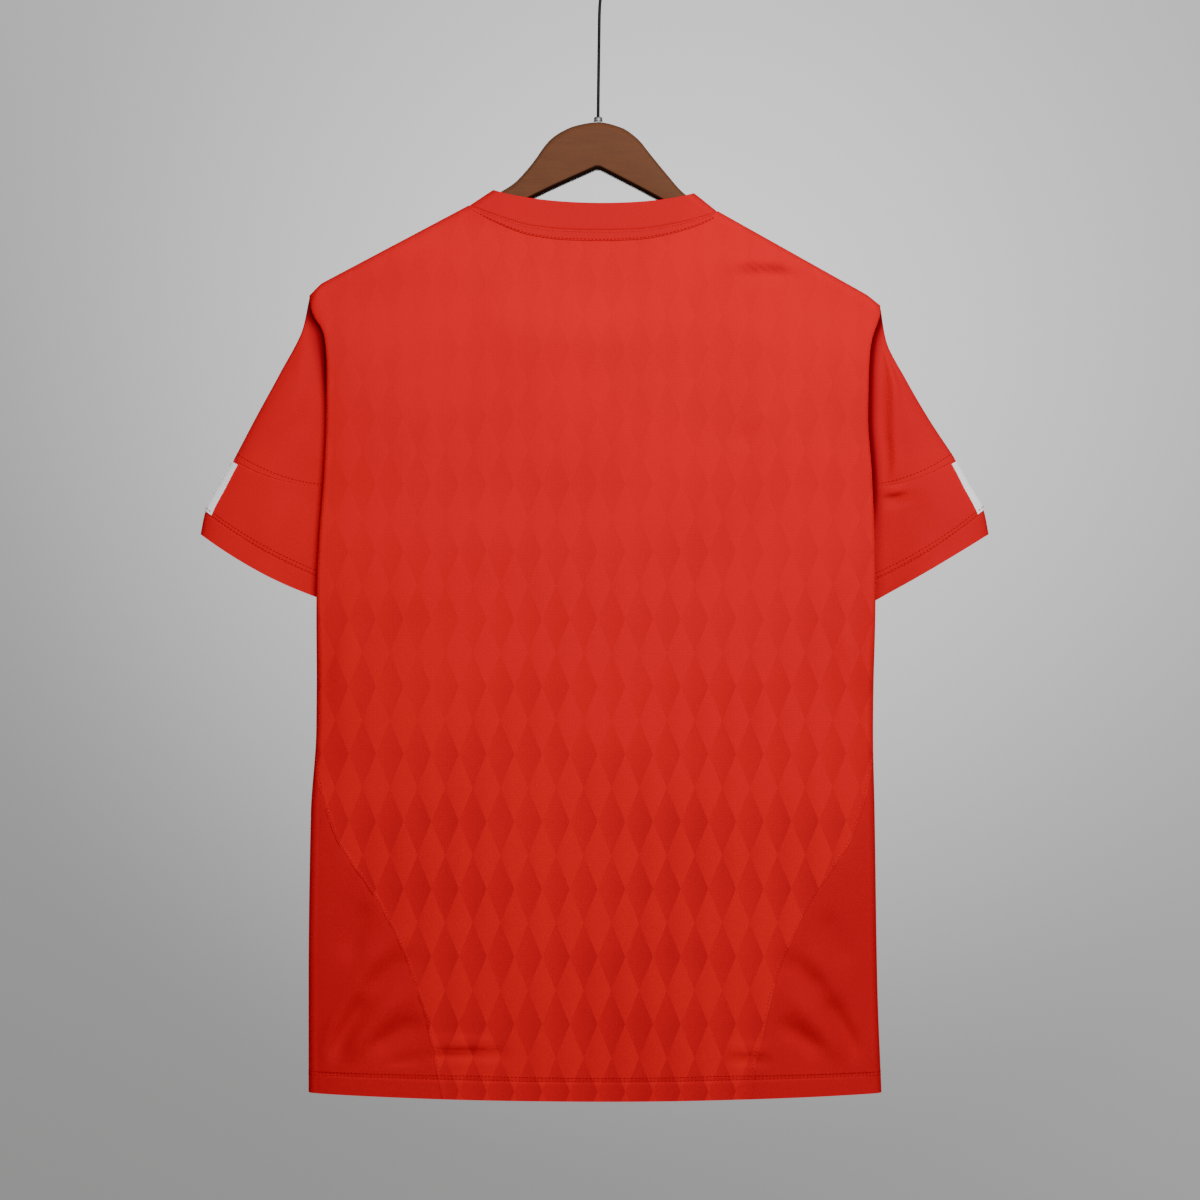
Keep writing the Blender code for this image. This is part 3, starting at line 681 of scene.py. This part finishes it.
def buildHook(look):
    middle = hanger["hookRadius"] + hanger["wireRadius"]
    route = list(hanger["shank"])
    for degrees in range(0, 191, 10):
        turn = radians(degrees)
        route.append((middle * cos(turn), -hanger["hookRadius"] + middle * sin(turn)))
    route.append(hanger["hookEnd"])
    wire = bpy.data.curves.new("hangerHook", "CURVE")
    wire.dimensions = "3D"
    wire.bevel_depth = hanger["wireRadius"] * mm
    wire.bevel_resolution = 5
    wire.resolution_u = 4
    wire.use_fill_caps = True
    line = wire.splines.new("NURBS")
    line.points.add(len(route) - 1)
    for point, (x, z) in zip(line.points, route):
        point.co = (x * mm, 0, z * mm, 1)
    line.order_u = 3
    line.use_endpoint_u = True
    newPiece("hangerHook", wire, look, ["hanger_hook"])


# torso pieces

torsoGrid = {
    "steps": [  # from, to, columns
        (0, 5, 34), (5, 6, 6), (6, 11, 38), (11, 15, 14), (15, 17.6, 6), (17.6, 18, 4),
    ],
    "topRows": [0, 0.4, 0.9, 1.6, 2.5, 3.6, 5, 6.6, 8.5, 11, 14, 17.5, 21, 25, 29.5, 34, 39, 44],
    "rowStep": 4.2, "hemRows": 26, "hemRowStep": 1.0,
    "tuckFades": -600, "insertTop": -669.0, "insertColumns": 46, "insertEdge": -0.7,
    "insertUnder": ((4.0, 1.1), (1.2, 1.1), (0.25, 0.8)),  # past the seam, depth behind the panel
    "insertTip": ((1.3, 5), (1.2, 1)),  # in and up, inside the panels
}


def halfColumns():
    full = lastColumn + tuckColumns
    columns = [0.0]
    for low, high, count in torsoGrid["steps"]:
        columns += [value / full for value in spread(low, high, count)[1:]]
    return columns


def torsoLevels(start):
    bottom = torso["hemSideZ"]
    hemTop = bottom + torsoGrid["hemRows"] * torsoGrid["hemRowStep"]
    levels = [tipZ[-1] - down for down in torsoGrid["topRows"]]
    count = round((levels[-1] - hemTop) / torsoGrid["rowStep"])
    levels += spread(levels[-1], hemTop, count)[1:]
    levels += spread(hemTop, bottom, torsoGrid["hemRows"])[1:]
    return [z for z in levels if z <= start]


def panelColumn(side, z, share):
    # only the columns past the side fold give way where the tuck ends; by the insert all of them do
    end, column = panelEnd(side, z), share * (lastColumn + tuckColumns)
    spare = max(0.0, column - lastColumn) * (end - lastColumn) / tuckColumns
    firm = min(column, lastColumn) + spare
    return firm + (share * end - firm) * ease(torsoGrid["tuckFades"], torso["insert"][0][0], z)


def buildPanel(face, name, look, node):
    columns = halfColumns()
    points = []
    for level in torsoLevels(0):
        row = []
        for side, order in ((-1, columns[:0:-1]), (1, columns)):
            z, down = sideLevel(side, level), levelShare(level)
            row += [torsoPoint(side, face, z, down, panelColumn(side, z, share)) for share in order]
        points.append(row)
    return clothPiece(name, points, look, node)


def buildInsert(side, look):
    points = []
    top = torsoGrid["insertTop"]
    levels = [z for z in torsoLevels(top) if z < top - 1]
    for level in [top, top - 1.0, *levels]:
        z, down = sideLevel(side, level), levelShare(level)
        columns = [(panelEnd(side, z, gap), sink) for gap, sink in torsoGrid["insertUnder"]]
        columns.append((panelEnd(side, z, -cloth["seamGap"]), 0))
        edge = panelEnd(side, z, torsoGrid["insertEdge"])
        columns += [(i, 0) for i in spread(edge, lastColumn, torsoGrid["insertColumns"])]
        back, front = (
            [torsoPoint(side, face, z, down, i) - Vector((0, face * sink, 0)) for i, sink in columns]
            for face in (-1, 1)
        )
        back[-1].y = 0.0
        row = back + front[-2::-1]
        for inward, up in () if points else torsoGrid["insertTip"]:
            points.append([p + Vector((-inward * side, -0.2 * p.y, up)) for p in row])
        points.append(row)
    return clothPiece("insert" + sideName(side), points, look,
                      "side_insert_" + sideName(side).lower())


def buildSleeve(side, look):
    gap, cross, seam, name = sleeve["seamGap"], sleeve["crossSeam"], sleeve["cuffSeam"], sideName(side)
    parts = [("sleeve", "sleeve_", 0, cross - gap), ("cuff", "cuff_", seam + gap, sleeve["cuffEdge"])]
    parts.insert(1, ("lowerSleeve", "lower_sleeve_", cross + gap, seam - gap))
    made = {}
    for (piece, node, low, high), rows in zip(parts, sleeve["rows"]):
        grid = sleeveGrid(side, low, high, rows, tucked=low > 0)
        made[piece] = clothPiece(piece + name, grid, look, node + name.lower(), closed=True)
        mesh = made[piece].data
        # painted shade on the sleeve beside the body's edge, where the sleeve dips into the valley behind the
        # panel
        armholeShade = mesh.attributes.new("armholeShade", "FLOAT", "POINT")
        for vertex, place in zip(mesh.vertices, armholeShade.data):
            x, z = abs(vertex.co.x) / mm, vertex.co.z / mm
            reach, shadeDeep = (
                least + more * ease(start, full, z) for least, more, start, full in sleeve["armholeShade"][side]
            )
            place.value = shadeDeep * ease(reach, 0, x - sideEdge(side, z)) * ease(*sleeve["armholeShadeFoot"], z)
    return made


def buildSleeveBand(side, look):
    reach, end = sleeve["bandReach"], sleeve["bandEnd"]
    points = [[bandPoint(side, place, angle)[0] for angle in spread(-reach, reach, 30)]
              for place in spread(sleeve["crossSeam"] + end, sleeve["cuffSeam"] - end, 40)]
    name = sideName(side)
    return clothPiece("sleeveBand" + name, points, look, "sleeve_band_" + name.lower(),
                      wall=sleeve["bandWall"])


def buildCollar(look):
    turns = [2 * pi * i / collar["around"] for i in range(collar["around"])]
    points = [[collarPoint(turn, height) for turn in turns]
              for height in (*collar["under"], *spread(0, 1, collar["rows"]))]
    for row in points[:len(collar["under"])]:
        for point in row:  # the seam allowance goes on down, behind the panels
            depth = collar["underDepth"] * min(1.0, abs(point.y) / 6)
            point.y -= depth if point.y > 0 else -depth
    return clothPiece("collarBand", points, look, "collar", closed=True)


def buildTape(look):
    xs = spread(*collar["tapeEnds"], 150)
    points = [[tapePoint(x, share) for x in xs] for share in spread(0, 1, 8)]
    return clothPiece("neckTape", points, look, "neck_tape", wall=collar["tapeWall"])


# finishes: node helpers first

def newLook(name, colour, roughness, **values):
    # the material, its shader and the place on the piece
    made = bpy.data.materials.new(name)
    made.use_nodes = True
    shader = made.node_tree.nodes["Principled BSDF"]
    shader.inputs["Base Color"].default_value = (*colour, 1)
    shader.inputs["Roughness"].default_value = roughness
    for socket, value in values.items():
        shader.inputs[socket.replace("_", " ")].default_value = value
    return made, shader, addNode(shader, "ShaderNodeTexCoord").outputs["Object"]


def addNode(near, kind, values=(), **settings):
    # a node in the material of the one near it, fed by plain values and by other nodes' sockets
    node = near.id_data.nodes.new(kind)
    for name, value in settings.items():
        setattr(node, name, value)
    for key, value in dict(values).items():
        if isinstance(value, bpy.types.NodeSocket):
            feed(value, node.inputs[key])
        else:
            node.inputs[key].default_value = value
    return node


def feed(value, socket):
    socket.id_data.links.new(value, socket)


def calc(operation, a, b=0.0, c=0.0):
    return addNode(a, "ShaderNodeMath", {0: a, 1: b, 2: c}, operation=operation).outputs[0]


def times(a, b):
    return calc("MULTIPLY", a, b)


def plus(a, b):
    return calc("ADD", a, b)


def mulAdd(a, b, c):
    return calc("MULTIPLY_ADD", a, b, c)


def ramp(value, low, high, fromValue=0.0, toValue=1.0):
    values = {"Value": value, "From Min": low, "From Max": high, "To Min": fromValue, "To Max": toValue}
    return addNode(value, "ShaderNodeMapRange", values, interpolation_type="SMOOTHSTEP").outputs[0]


def noise(place, scale, detail=2.0):
    values = {"Vector": place, "Scale": scale, "Detail": detail}
    return addNode(place, "ShaderNodeTexNoise", values).outputs[0]


def twill(place, scale, distortion):
    values = {"Vector": place, "Scale": scale, "Distortion": distortion}
    return addNode(place, "ShaderNodeTexWave", values, bands_direction="DIAGONAL").outputs[0]


def blendColours(share, low, high):
    # each colour is a row of three values or another node's colour
    low, high = (c if isinstance(c, bpy.types.NodeSocket) else (*c, 1) for c in (low, high))
    return addNode(share, "ShaderNodeMix", {0: share, 6: low, 7: high}, data_type="RGBA").outputs[2]


def paint(shader, share, low, high, socket="Base Color"):
    feed(blendColours(share, low, high), shader.inputs[socket])


def relief(shader, strength, depth, height):
    bump = addNode(shader, "ShaderNodeBump", {"Strength": strength, "Distance": depth * mm, "Height": height})
    feed(bump.outputs[0], shader.inputs["Normal"])


# knit: wales and courses as fine waves, slightly uneven dye, and painted shade

knit = {
    # light and dark bound the dye; the third colour is the darkest red of the painted shade by the armhole
    "light": (0.615, 0.0075, 0.0125), "dark": (0.335, 0.0058, 0.0110), "shadeDeep": (0.10, 0.002, 0.004),
    "roughness": 0.6, "sheen": 0.035, "sheenRoughness": 0.45, "sheenTint": (1.0, 0.35, 0.30, 1),
    "walePitch": 1.7, "coursePitch": 1.25, "waleRise": 0.35, "courseRise": 0.22,
    "fuzzScale": 900.0, "fuzzRise": 0.7, "bump": 0.26, "bumpDepth": 0.25,
    "cloudScale": 11.0, "cloudTone": 0.14, "grainScale": 420.0, "grainTone": 0.16, "waleTone": 0.035,
    "lozengeWidth": 23.0, "lozengeHeight": 56.0, "lozengeTone": 0.34, "lozengeSlope": 0.55,
    "lozengeFade": (-0.30, -0.86, 0.2, 1.0), "lozengeDarken": (0.6, 1.0, 0.0, 0.4),
    "armholeShadeTone": -1.1, "armholeShadeDeep": (0.4, 1.0, 0.0, 0.9),
}


def knitLook(name, lozenges=False, tilt=0.0, shade=0.0):
    made, shader, place = newLook(
        name, knit["light"], knit["roughness"], Sheen_Weight=knit["sheen"],
        Sheen_Roughness=knit["sheenRoughness"], Sheen_Tint=knit["sheenTint"], Specular_IOR_Level=0.0)
    turned = addNode(place, "ShaderNodeMapping", {"Vector": place, "Rotation": (0, radians(tilt), 0)})
    across = addNode(place, "ShaderNodeSeparateXYZ", {0: turned.outputs[0]})
    wale, course = (
        calc("SINE", times(across.outputs[axis], 2 * pi / (knit[pitch] * mm)))
        for axis, pitch in ((0, "walePitch"), (2, "coursePitch"))
    )
    height = mulAdd(wale, knit["waleRise"], times(course, knit["courseRise"]))
    height = mulAdd(noise(place, knit["fuzzScale"]), knit["fuzzRise"], height)
    relief(shader, knit["bump"], knit["bumpDepth"], height)
    # shade darkens the whole copy: painted shade on the sleeves, more on the right sleeve than the left; on
    # the inserts partly a darker plain knit and partly painted shade; the collar is simply darker
    full = 1.0 - shade
    cloud = noise(place, knit["cloudScale"], 3.0)
    tone = ramp(cloud, 0.3, 0.7, full - knit["cloudTone"], full)
    grain = calc("SUBTRACT", noise(place, knit["grainScale"]), 0.5)
    tone = mulAdd(grain, knit["grainTone"], tone)
    tone = mulAdd(wale, knit["waleTone"], tone)
    if lozenges:
        tone = plus(tone, lozengeTone(place))
    # painted shade by the armhole, read from the sleeve's attribute: darker beside the body's edge, deep dark
    # red at its strongest
    armholeShade = addNode(place, "ShaderNodeAttribute", attribute_name="armholeShade").outputs["Fac"]
    tone = mulAdd(armholeShade, knit["armholeShadeTone"], tone)
    dyed = blendColours(tone, knit["dark"], knit["light"])
    paint(shader, ramp(armholeShade, *knit["armholeShadeDeep"]), dyed, knit["shadeDeep"])
    return made


def lozengeTone(place):
    # upright lozenges, alternately light and dark, each shaded softly across; weak at the top, and the whole
    # tone darker towards the bottom
    split = addNode(place, "ShaderNodeSeparateXYZ", {0: place})
    u = calc("DIVIDE", split.outputs[0], knit["lozengeWidth"] * mm)
    v = calc("DIVIDE", split.outputs[2], knit["lozengeHeight"] * mm)
    a, b = plus(u, v), calc("SUBTRACT", u, v)
    corner = plus(calc("FLOOR", a), calc("FLOOR", b))
    flip = mulAdd(calc("PINGPONG", corner, 1.0), 2.0, -1.0)
    sideways = plus(calc("FRACT", a), calc("FRACT", b))
    sideways = calc("SUBTRACT", sideways, 1.0)
    slope = knit["lozengeSlope"]
    tone = mulAdd(times(sideways, flip), slope, times(flip, 1 - slope))
    strength = ramp(split.outputs[2], *knit["lozengeFade"])
    darken = ramp(strength, *knit["lozengeDarken"])
    tone = calc("SUBTRACT", times(tone, strength), darken)
    return times(tone, knit["lozengeTone"])


# the other finishes: trim, thread, hanger, wire and wall

tones = {
    "trim": {"roughness": 0.4, "twist": (260.0, 0.4), "bump": (0.25, 0.2)},
    "thread": {"roughness": 0.5, "twist": (900.0, 1.0), "bump": (0.4, 0.1)},
    "bar": {
        "colour": (0.13, 0.048, 0.026), "dark": (0.082, 0.030, 0.0135), "light": (0.150, 0.058, 0.027),
        # shade: the near-black of the painted shade on the bar's underside
        "shade": (0.012, 0.004, 0.002),
        "stretch": (9.0, 60.0, 60.0), "grain": (6.0, 5.0), "speck": 700.0, "speckShare": 0.35,
        "roughness": (0.48, 0.62), "bump": 0.12,
    },
    "metal": {"wear": (260.0, 3.0), "rougher": (-0.08, 0.1), "darker": 0.75},
    "wall": {"roughness": 0.95, "blotch": 2.0, "darker": 0.97},
}


def twillLook(name, low, high, kind, shine=0.0, **values):
    weave = tones[kind]
    made, shader, place = newLook(name, high, weave["roughness"], Specular_IOR_Level=shine, **values)
    twist = twill(place, *weave["twist"])
    relief(shader, *weave["bump"], twist)
    paint(shader, twist, low, high)
    return made


def hangerLook():
    bar = tones["bar"]
    made, shader, place = newLook("brownBar", bar["colour"], 0.55, Specular_IOR_Level=0.05)
    along = addNode(place, "ShaderNodeMapping", {"Vector": place, "Scale": bar["stretch"]})
    grain = noise(along.outputs[0], *bar["grain"])
    speck = noise(place, bar["speck"])
    tone = mulAdd(speck, bar["speckShare"], times(grain, 1 - bar["speckShare"]))
    # painted shade on the bar's underside, where its faces look down
    under = addNode(place, "ShaderNodeAttribute", attribute_name="under").outputs["Fac"]
    paint(shader, under, blendColours(tone, bar["dark"], bar["light"]), bar["shade"])
    feed(ramp(grain, 0.3, 0.7, *bar["roughness"]), shader.inputs["Roughness"])
    relief(shader, bar["bump"], 0.2, speck)
    return made


def metalLook(name, colour, roughness, metallic, shine=0.5):
    metal = tones["metal"]
    made, shader, place = newLook(name, colour, roughness, Metallic=metallic, Specular_IOR_Level=shine)
    wear = noise(place, *metal["wear"])
    rough = ramp(wear, 0.3, 0.7, *(roughness + change for change in metal["rougher"]))
    feed(rough, shader.inputs["Roughness"])
    paint(shader, wear, [value * metal["darker"] for value in colour], colour)
    return made


def wallLook(name, colour, glow=0.0):
    wall = tones["wall"]
    made, shader, place = newLook(name, colour, wall["roughness"], Specular_IOR_Level=0.1,
                                  Emission_Strength=glow)
    darker = [value * wall["darker"] for value in colour]
    paint(shader, noise(place, wall["blotch"]), darker, colour)
    # the backdrop glows: painted light, lighter up and to the right, with a painted pool of light round
    # glowPlace
    if glow:
        split = addNode(place, "ShaderNodeSeparateXYZ", {0: place})
        upward, sideways = stage["wallLean"]
        rise = mulAdd(split.outputs[1], upward, times(split.outputs[0], sideways))
        x, y = (
            times(calc("SUBTRACT", split.outputs[k], stage["glowPlace"][k]), stage["wallSize"][k])
            for k in (0, 1)
        )
        away = calc("SQRT", mulAdd(x, x, times(y, y)))
        glowShare = stage["glowShare"]
        share = times(ramp(away, stage["glowReach"], 0.0), glowShare)
        share = mulAdd(ramp(rise, *stage["wallRamp"]), 1 - glowShare, share)
        paint(shader, share, stage["wallDark"], stage["wallLight"], "Emission Color")
    return made


# sewing: short thread stitches laid along a route on the cloth

sewing = {
    "length": 2.3, "pitch": 3.1, "width": 0.75, "proud": 0.42, "lift": 0.12,
    "hemRows": (18.0, 15.2), "seamInset": 1.9, "insertTop": -676, "insertFoot": 2, "steps": 150,
    "sleeveRows": (  # seam, millimetres to a place along the top fold, rows above the seam
        ("crossSeam", 22.0, (4.0,)), ("cuffSeam", 27.0, (1.6, 4.6)),
    ),
    "bandEdge": 0.05, "bandEnd": 0.1, "bandWidth": 0.5, "tackEdge": 0.04, "tackUp": 0.16, "tackWidth": 1.0,
    "tapeRows": (0.14, 0.86), "tapeEnd": 1,
}


faces = ((-1, "Back"), (1, "Front"))


def torsoSurface(side, face, level, index):
    # a point of the torso's cloth and the direction straight out of it
    def at(z, i):
        return torsoPoint(side, face, z, levelShare(level + z - sideLevel(side, level)), i)

    z = sideLevel(side, level)
    out = (at(z, index + 0.02) - at(z, index - 0.02)).cross(at(z + 0.5, index) - at(z - 0.5, index))
    if out.length < 1e-9:
        out = Vector((0, face, 0))
    out.normalize()
    if out.y * face < 0 and index <= torso["across"] or out.x * side < 0 and index > torso["across"]:
        out.negate()
    return at(z, index), out


def stitchRun(name, route, look, width=sewing["width"]):
    # route: (point, outward) pairs; the stitches keep an even pitch along it
    places = [0.0]
    for (first, _), (second, _) in zip(route, route[1:]):
        places.append(places[-1] + (second - first).length)
    size = (sewing["length"] / 2, width / 2, sewing["proud"] / 2)
    bm = bmesh.new()
    count = int(places[-1] / sewing["pitch"])
    k = 0
    for i in range(count):
        place = (i + 0.5) * places[-1] / count
        while k < len(places) - 2 and places[k + 1] < place:
            k += 1
        share = (place - places[k]) / max(1e-6, places[k + 1] - places[k])
        point = route[k][0].lerp(route[k + 1][0], share)
        out = route[k][1].lerp(route[k + 1][1], share).normalized()
        along = (route[k + 1][0] - route[k][0]).normalized()
        aside = along.cross(out).normalized()
        out = aside.cross(along)
        turn = Matrix((along, aside, out)).transposed().to_4x4() @ Matrix.Diagonal((*size, 1))
        middle = Matrix.Translation((point + out * (cloth["wall"] / 2 + sewing["lift"])) * mm)
        bmesh.ops.create_icosphere(bm, subdivisions=1, radius=mm, matrix=middle @ turn)
    bmesh.ops.recalc_face_normals(bm, faces=bm.faces)
    newPiece(name, toMesh(name, bm), look)


def hemStitches(look):
    count = sewing["steps"]
    columns = [(-1, i) for i in spread(lastColumn, 0, count)]
    columns += [(1, i) for i in spread(0, lastColumn, count)[1:]]
    for face, where in faces:
        for row, up in enumerate(sewing["hemRows"]):
            route = [torsoSurface(side, face, torso["hemSideZ"] + up, i) for side, i in columns]
            stitchRun(f"hemStitch{where}{row + 1}", route, look)


def insertStitches(side, look):
    foot = torso["hemSideZ"] + sewing["hemRows"][0] + sewing["insertFoot"]
    for face, where in faces:
        route = []
        for level in spread(sewing["insertTop"], foot, sewing["steps"]):
            index = panelEnd(side, sideLevel(side, level), sewing["seamInset"])
            route.append(torsoSurface(side, face, level, index))
        stitchRun(f"insertStitch{sideName(side)}{where}", route, look)


def sleeveStitches(side, look):
    for seam, span, rows in sewing["sleeveRows"]:
        for row, up in enumerate(rows):
            place = sleeve[seam] - up / span
            angles = [2 * pi * i / 160 for i in range(161)]
            route = [(sleevePoint(side, place, angle), sleeveOutward(side, place, angle)) for angle in angles]
            stitchRun(f"{seam}Stitch{sideName(side)}{row + 1}", route, look)


def bandStitches(side, look):
    reach, end = sleeve["bandReach"] - sewing["bandEdge"], sewing["bandEnd"]
    for angle, where in ((reach, "Back"), (-reach, "Front")):
        places = spread(sleeve["crossSeam"] + end, sleeve["cuffSeam"] - end, 60)
        route = [bandPoint(side, place, angle) for place in places]
        name = f"bandStitch{sideName(side)}{where}"
        stitchRun(name, route, look, sewing["bandWidth"])


def bandTack(side, look):
    reach = sleeve["bandReach"] - sewing["tackEdge"]
    place = sleeve["cuffSeam"] - sewing["tackUp"]
    route = [bandPoint(side, place, angle) for angle in spread(-reach, reach, 40)]
    stitchRun("bandTack" + sideName(side), route, look, sewing["tackWidth"])


def tapeStitches(looks):
    left, right = collar["tapeEnds"]
    for row, share in enumerate(sewing["tapeRows"]):
        route = []
        for x in spread(left + sewing["tapeEnd"], right - sewing["tapeEnd"], 160):
            point, aside = tapePoint(x, share), tapePoint(x + 0.5, share)
            low, high = tapePoint(x, min(1.0, share + 0.05)), tapePoint(x, max(0.0, share - 0.05))
            out = (aside - point).cross(high - low).normalized()
            route.append((point, out if out.y < 0 else -out))
        stitchRun(f"tapeStitch{row + 1}", route, looks[row])


# the pieces, from the hanger out

redPanel = knitLook("redJacquard", lozenges=True)
# darker copies: painted shade on the sleeves, and partly on the inserts
redInsert = knitLook("redInsertKnit", shade=0.34)
red = knitLook("redCollarKnit", shade=0.18)
redSleeve = {
    -1: knitLook("redKnitLeft", tilt=-38, shade=0.16), 1: knitLook("redKnitRight", tilt=38, shade=0.24),
}
thread = twillLook("redThread", (0.30, 0.004, 0.007), (0.50, 0.007, 0.011), "thread")
# a paler red thread: painted highlight along the raised insert seams and the tape's upper row
seamHighlightThread = twillLook("redThreadHighlight", (0.52, 0.012, 0.017), (0.68, 0.022, 0.027), "thread")
whiteThread = metalLook("whiteThread", (0.86, 0.84, 0.84), 0.5, 0.0)
white = twillLook("whiteTrim", (0.93, 0.92, 0.92), (0.985, 0.975, 0.975), "trim", shine=0.5,
                  Sheen_Weight=0.5, Sheen_Roughness=0.35)
brown = hangerLook()
black = metalLook("blackWire", (0.006, 0.006, 0.006), 0.5, 0.0, shine=0.12)
steel = metalLook("steelCollar", (0.24, 0.235, 0.23), 0.45, 1.0)

buildCamera()
buildHanger(brown)
buildFerrule(steel)
buildHook(black)
print("hanger made")
back = buildPanel(-1, "backPanel", redPanel, "back_panel")
front = buildPanel(1, "frontPanel", redPanel, "front_panel")
inserts = {side: buildInsert(side, redInsert) for side in (-1, 1)}
print("torso made")
sleeves = {side: buildSleeve(side, redSleeve[side]) for side in (-1, 1)}
bands = {side: buildSleeveBand(side, white) for side in (-1, 1)}
neckCollar = buildCollar(red)
tape = buildTape(red)
print("sleeves and collar made")
hemStitches(thread)
for side in (-1, 1):
    insertStitches(side, seamHighlightThread)
    sleeveStitches(side, thread)
    bandStitches(side, whiteThread)
    bandTack(side, thread)
tapeStitches((seamHighlightThread, thread))
print("stitches made")
# floor, backdrop and lights

stage = {
    "floorSize": (1.0, 0.9), "floorPlace": (0, -0.02, -1.3), "floorColour": (0.62, 0.62, 0.62),
    "wallSize": (9.57, 7.18), "wallPlace": (0, 3.7, -0.491), "wallGlow": 1.0,
    "wallColour": (0.2, 0.2, 0.2), "wallLight": (1.17, 1.17, 1.195), "wallDark": (0.25, 0.247, 0.245),
    "wallRamp": (-0.155, 0.165), "wallLean": (0.6, 0.4),
    "glowPlace": (0.0098, 0.0447), "glowReach": 1.5, "glowShare": 0.616,
    "world": (0.25, 0.25, 0.255),
    "lamps": [  # name, place and aim in metres, size in metres, watts
        ("key", (0.40, -1.25, 0.20), (0.03, 0, -0.48), 0.95, 28),
        ("fill", (-1.2, -1.5, 0.3), (0, 0, -0.4), 1.2, 7.5),
        ("frontLight", (-0.35, 1.6, -0.3), (0, 0, -0.5), 1.3, 28),
    ],
}


def plane(name, size, place, turn, look):
    bm = bmesh.new()
    bmesh.ops.create_grid(bm, x_segments=1, y_segments=1, size=0.5)
    mesh = bpy.data.meshes.new(name)
    bm.to_mesh(mesh)
    bm.free()
    mesh.materials.append(look)
    made = addObject(name, mesh)
    made.scale = (*size, 1)
    made.location = place
    made.rotation_euler = turn


def buildStage():
    plane("floor", stage["floorSize"], stage["floorPlace"], (0, 0, 0),
          wallLook("paleFloor", stage["floorColour"]))
    plane("backdrop", stage["wallSize"], stage["wallPlace"], (pi / 2, 0, 0),
          wallLook("paleWall", stage["wallColour"], stage["wallGlow"]))
    world = bpy.data.worlds.new("softLight")
    world.use_nodes = True
    world.node_tree.nodes["Background"].inputs["Color"].default_value = (*stage["world"], 1)
    bpy.context.scene.world = world
    for name, place, aim, size, watts in stage["lamps"]:
        lamp = bpy.data.lights.new(name, "AREA")
        lamp.energy, lamp.size = watts, size
        holder = addObject(name, lamp)
        holder.location = place
        holder.rotation_euler = (Vector(aim) - Vector(place)).to_track_quat("-Z", "Y").to_euler()
        holder.visible_camera = False


buildStage()
print("stage and lights made")
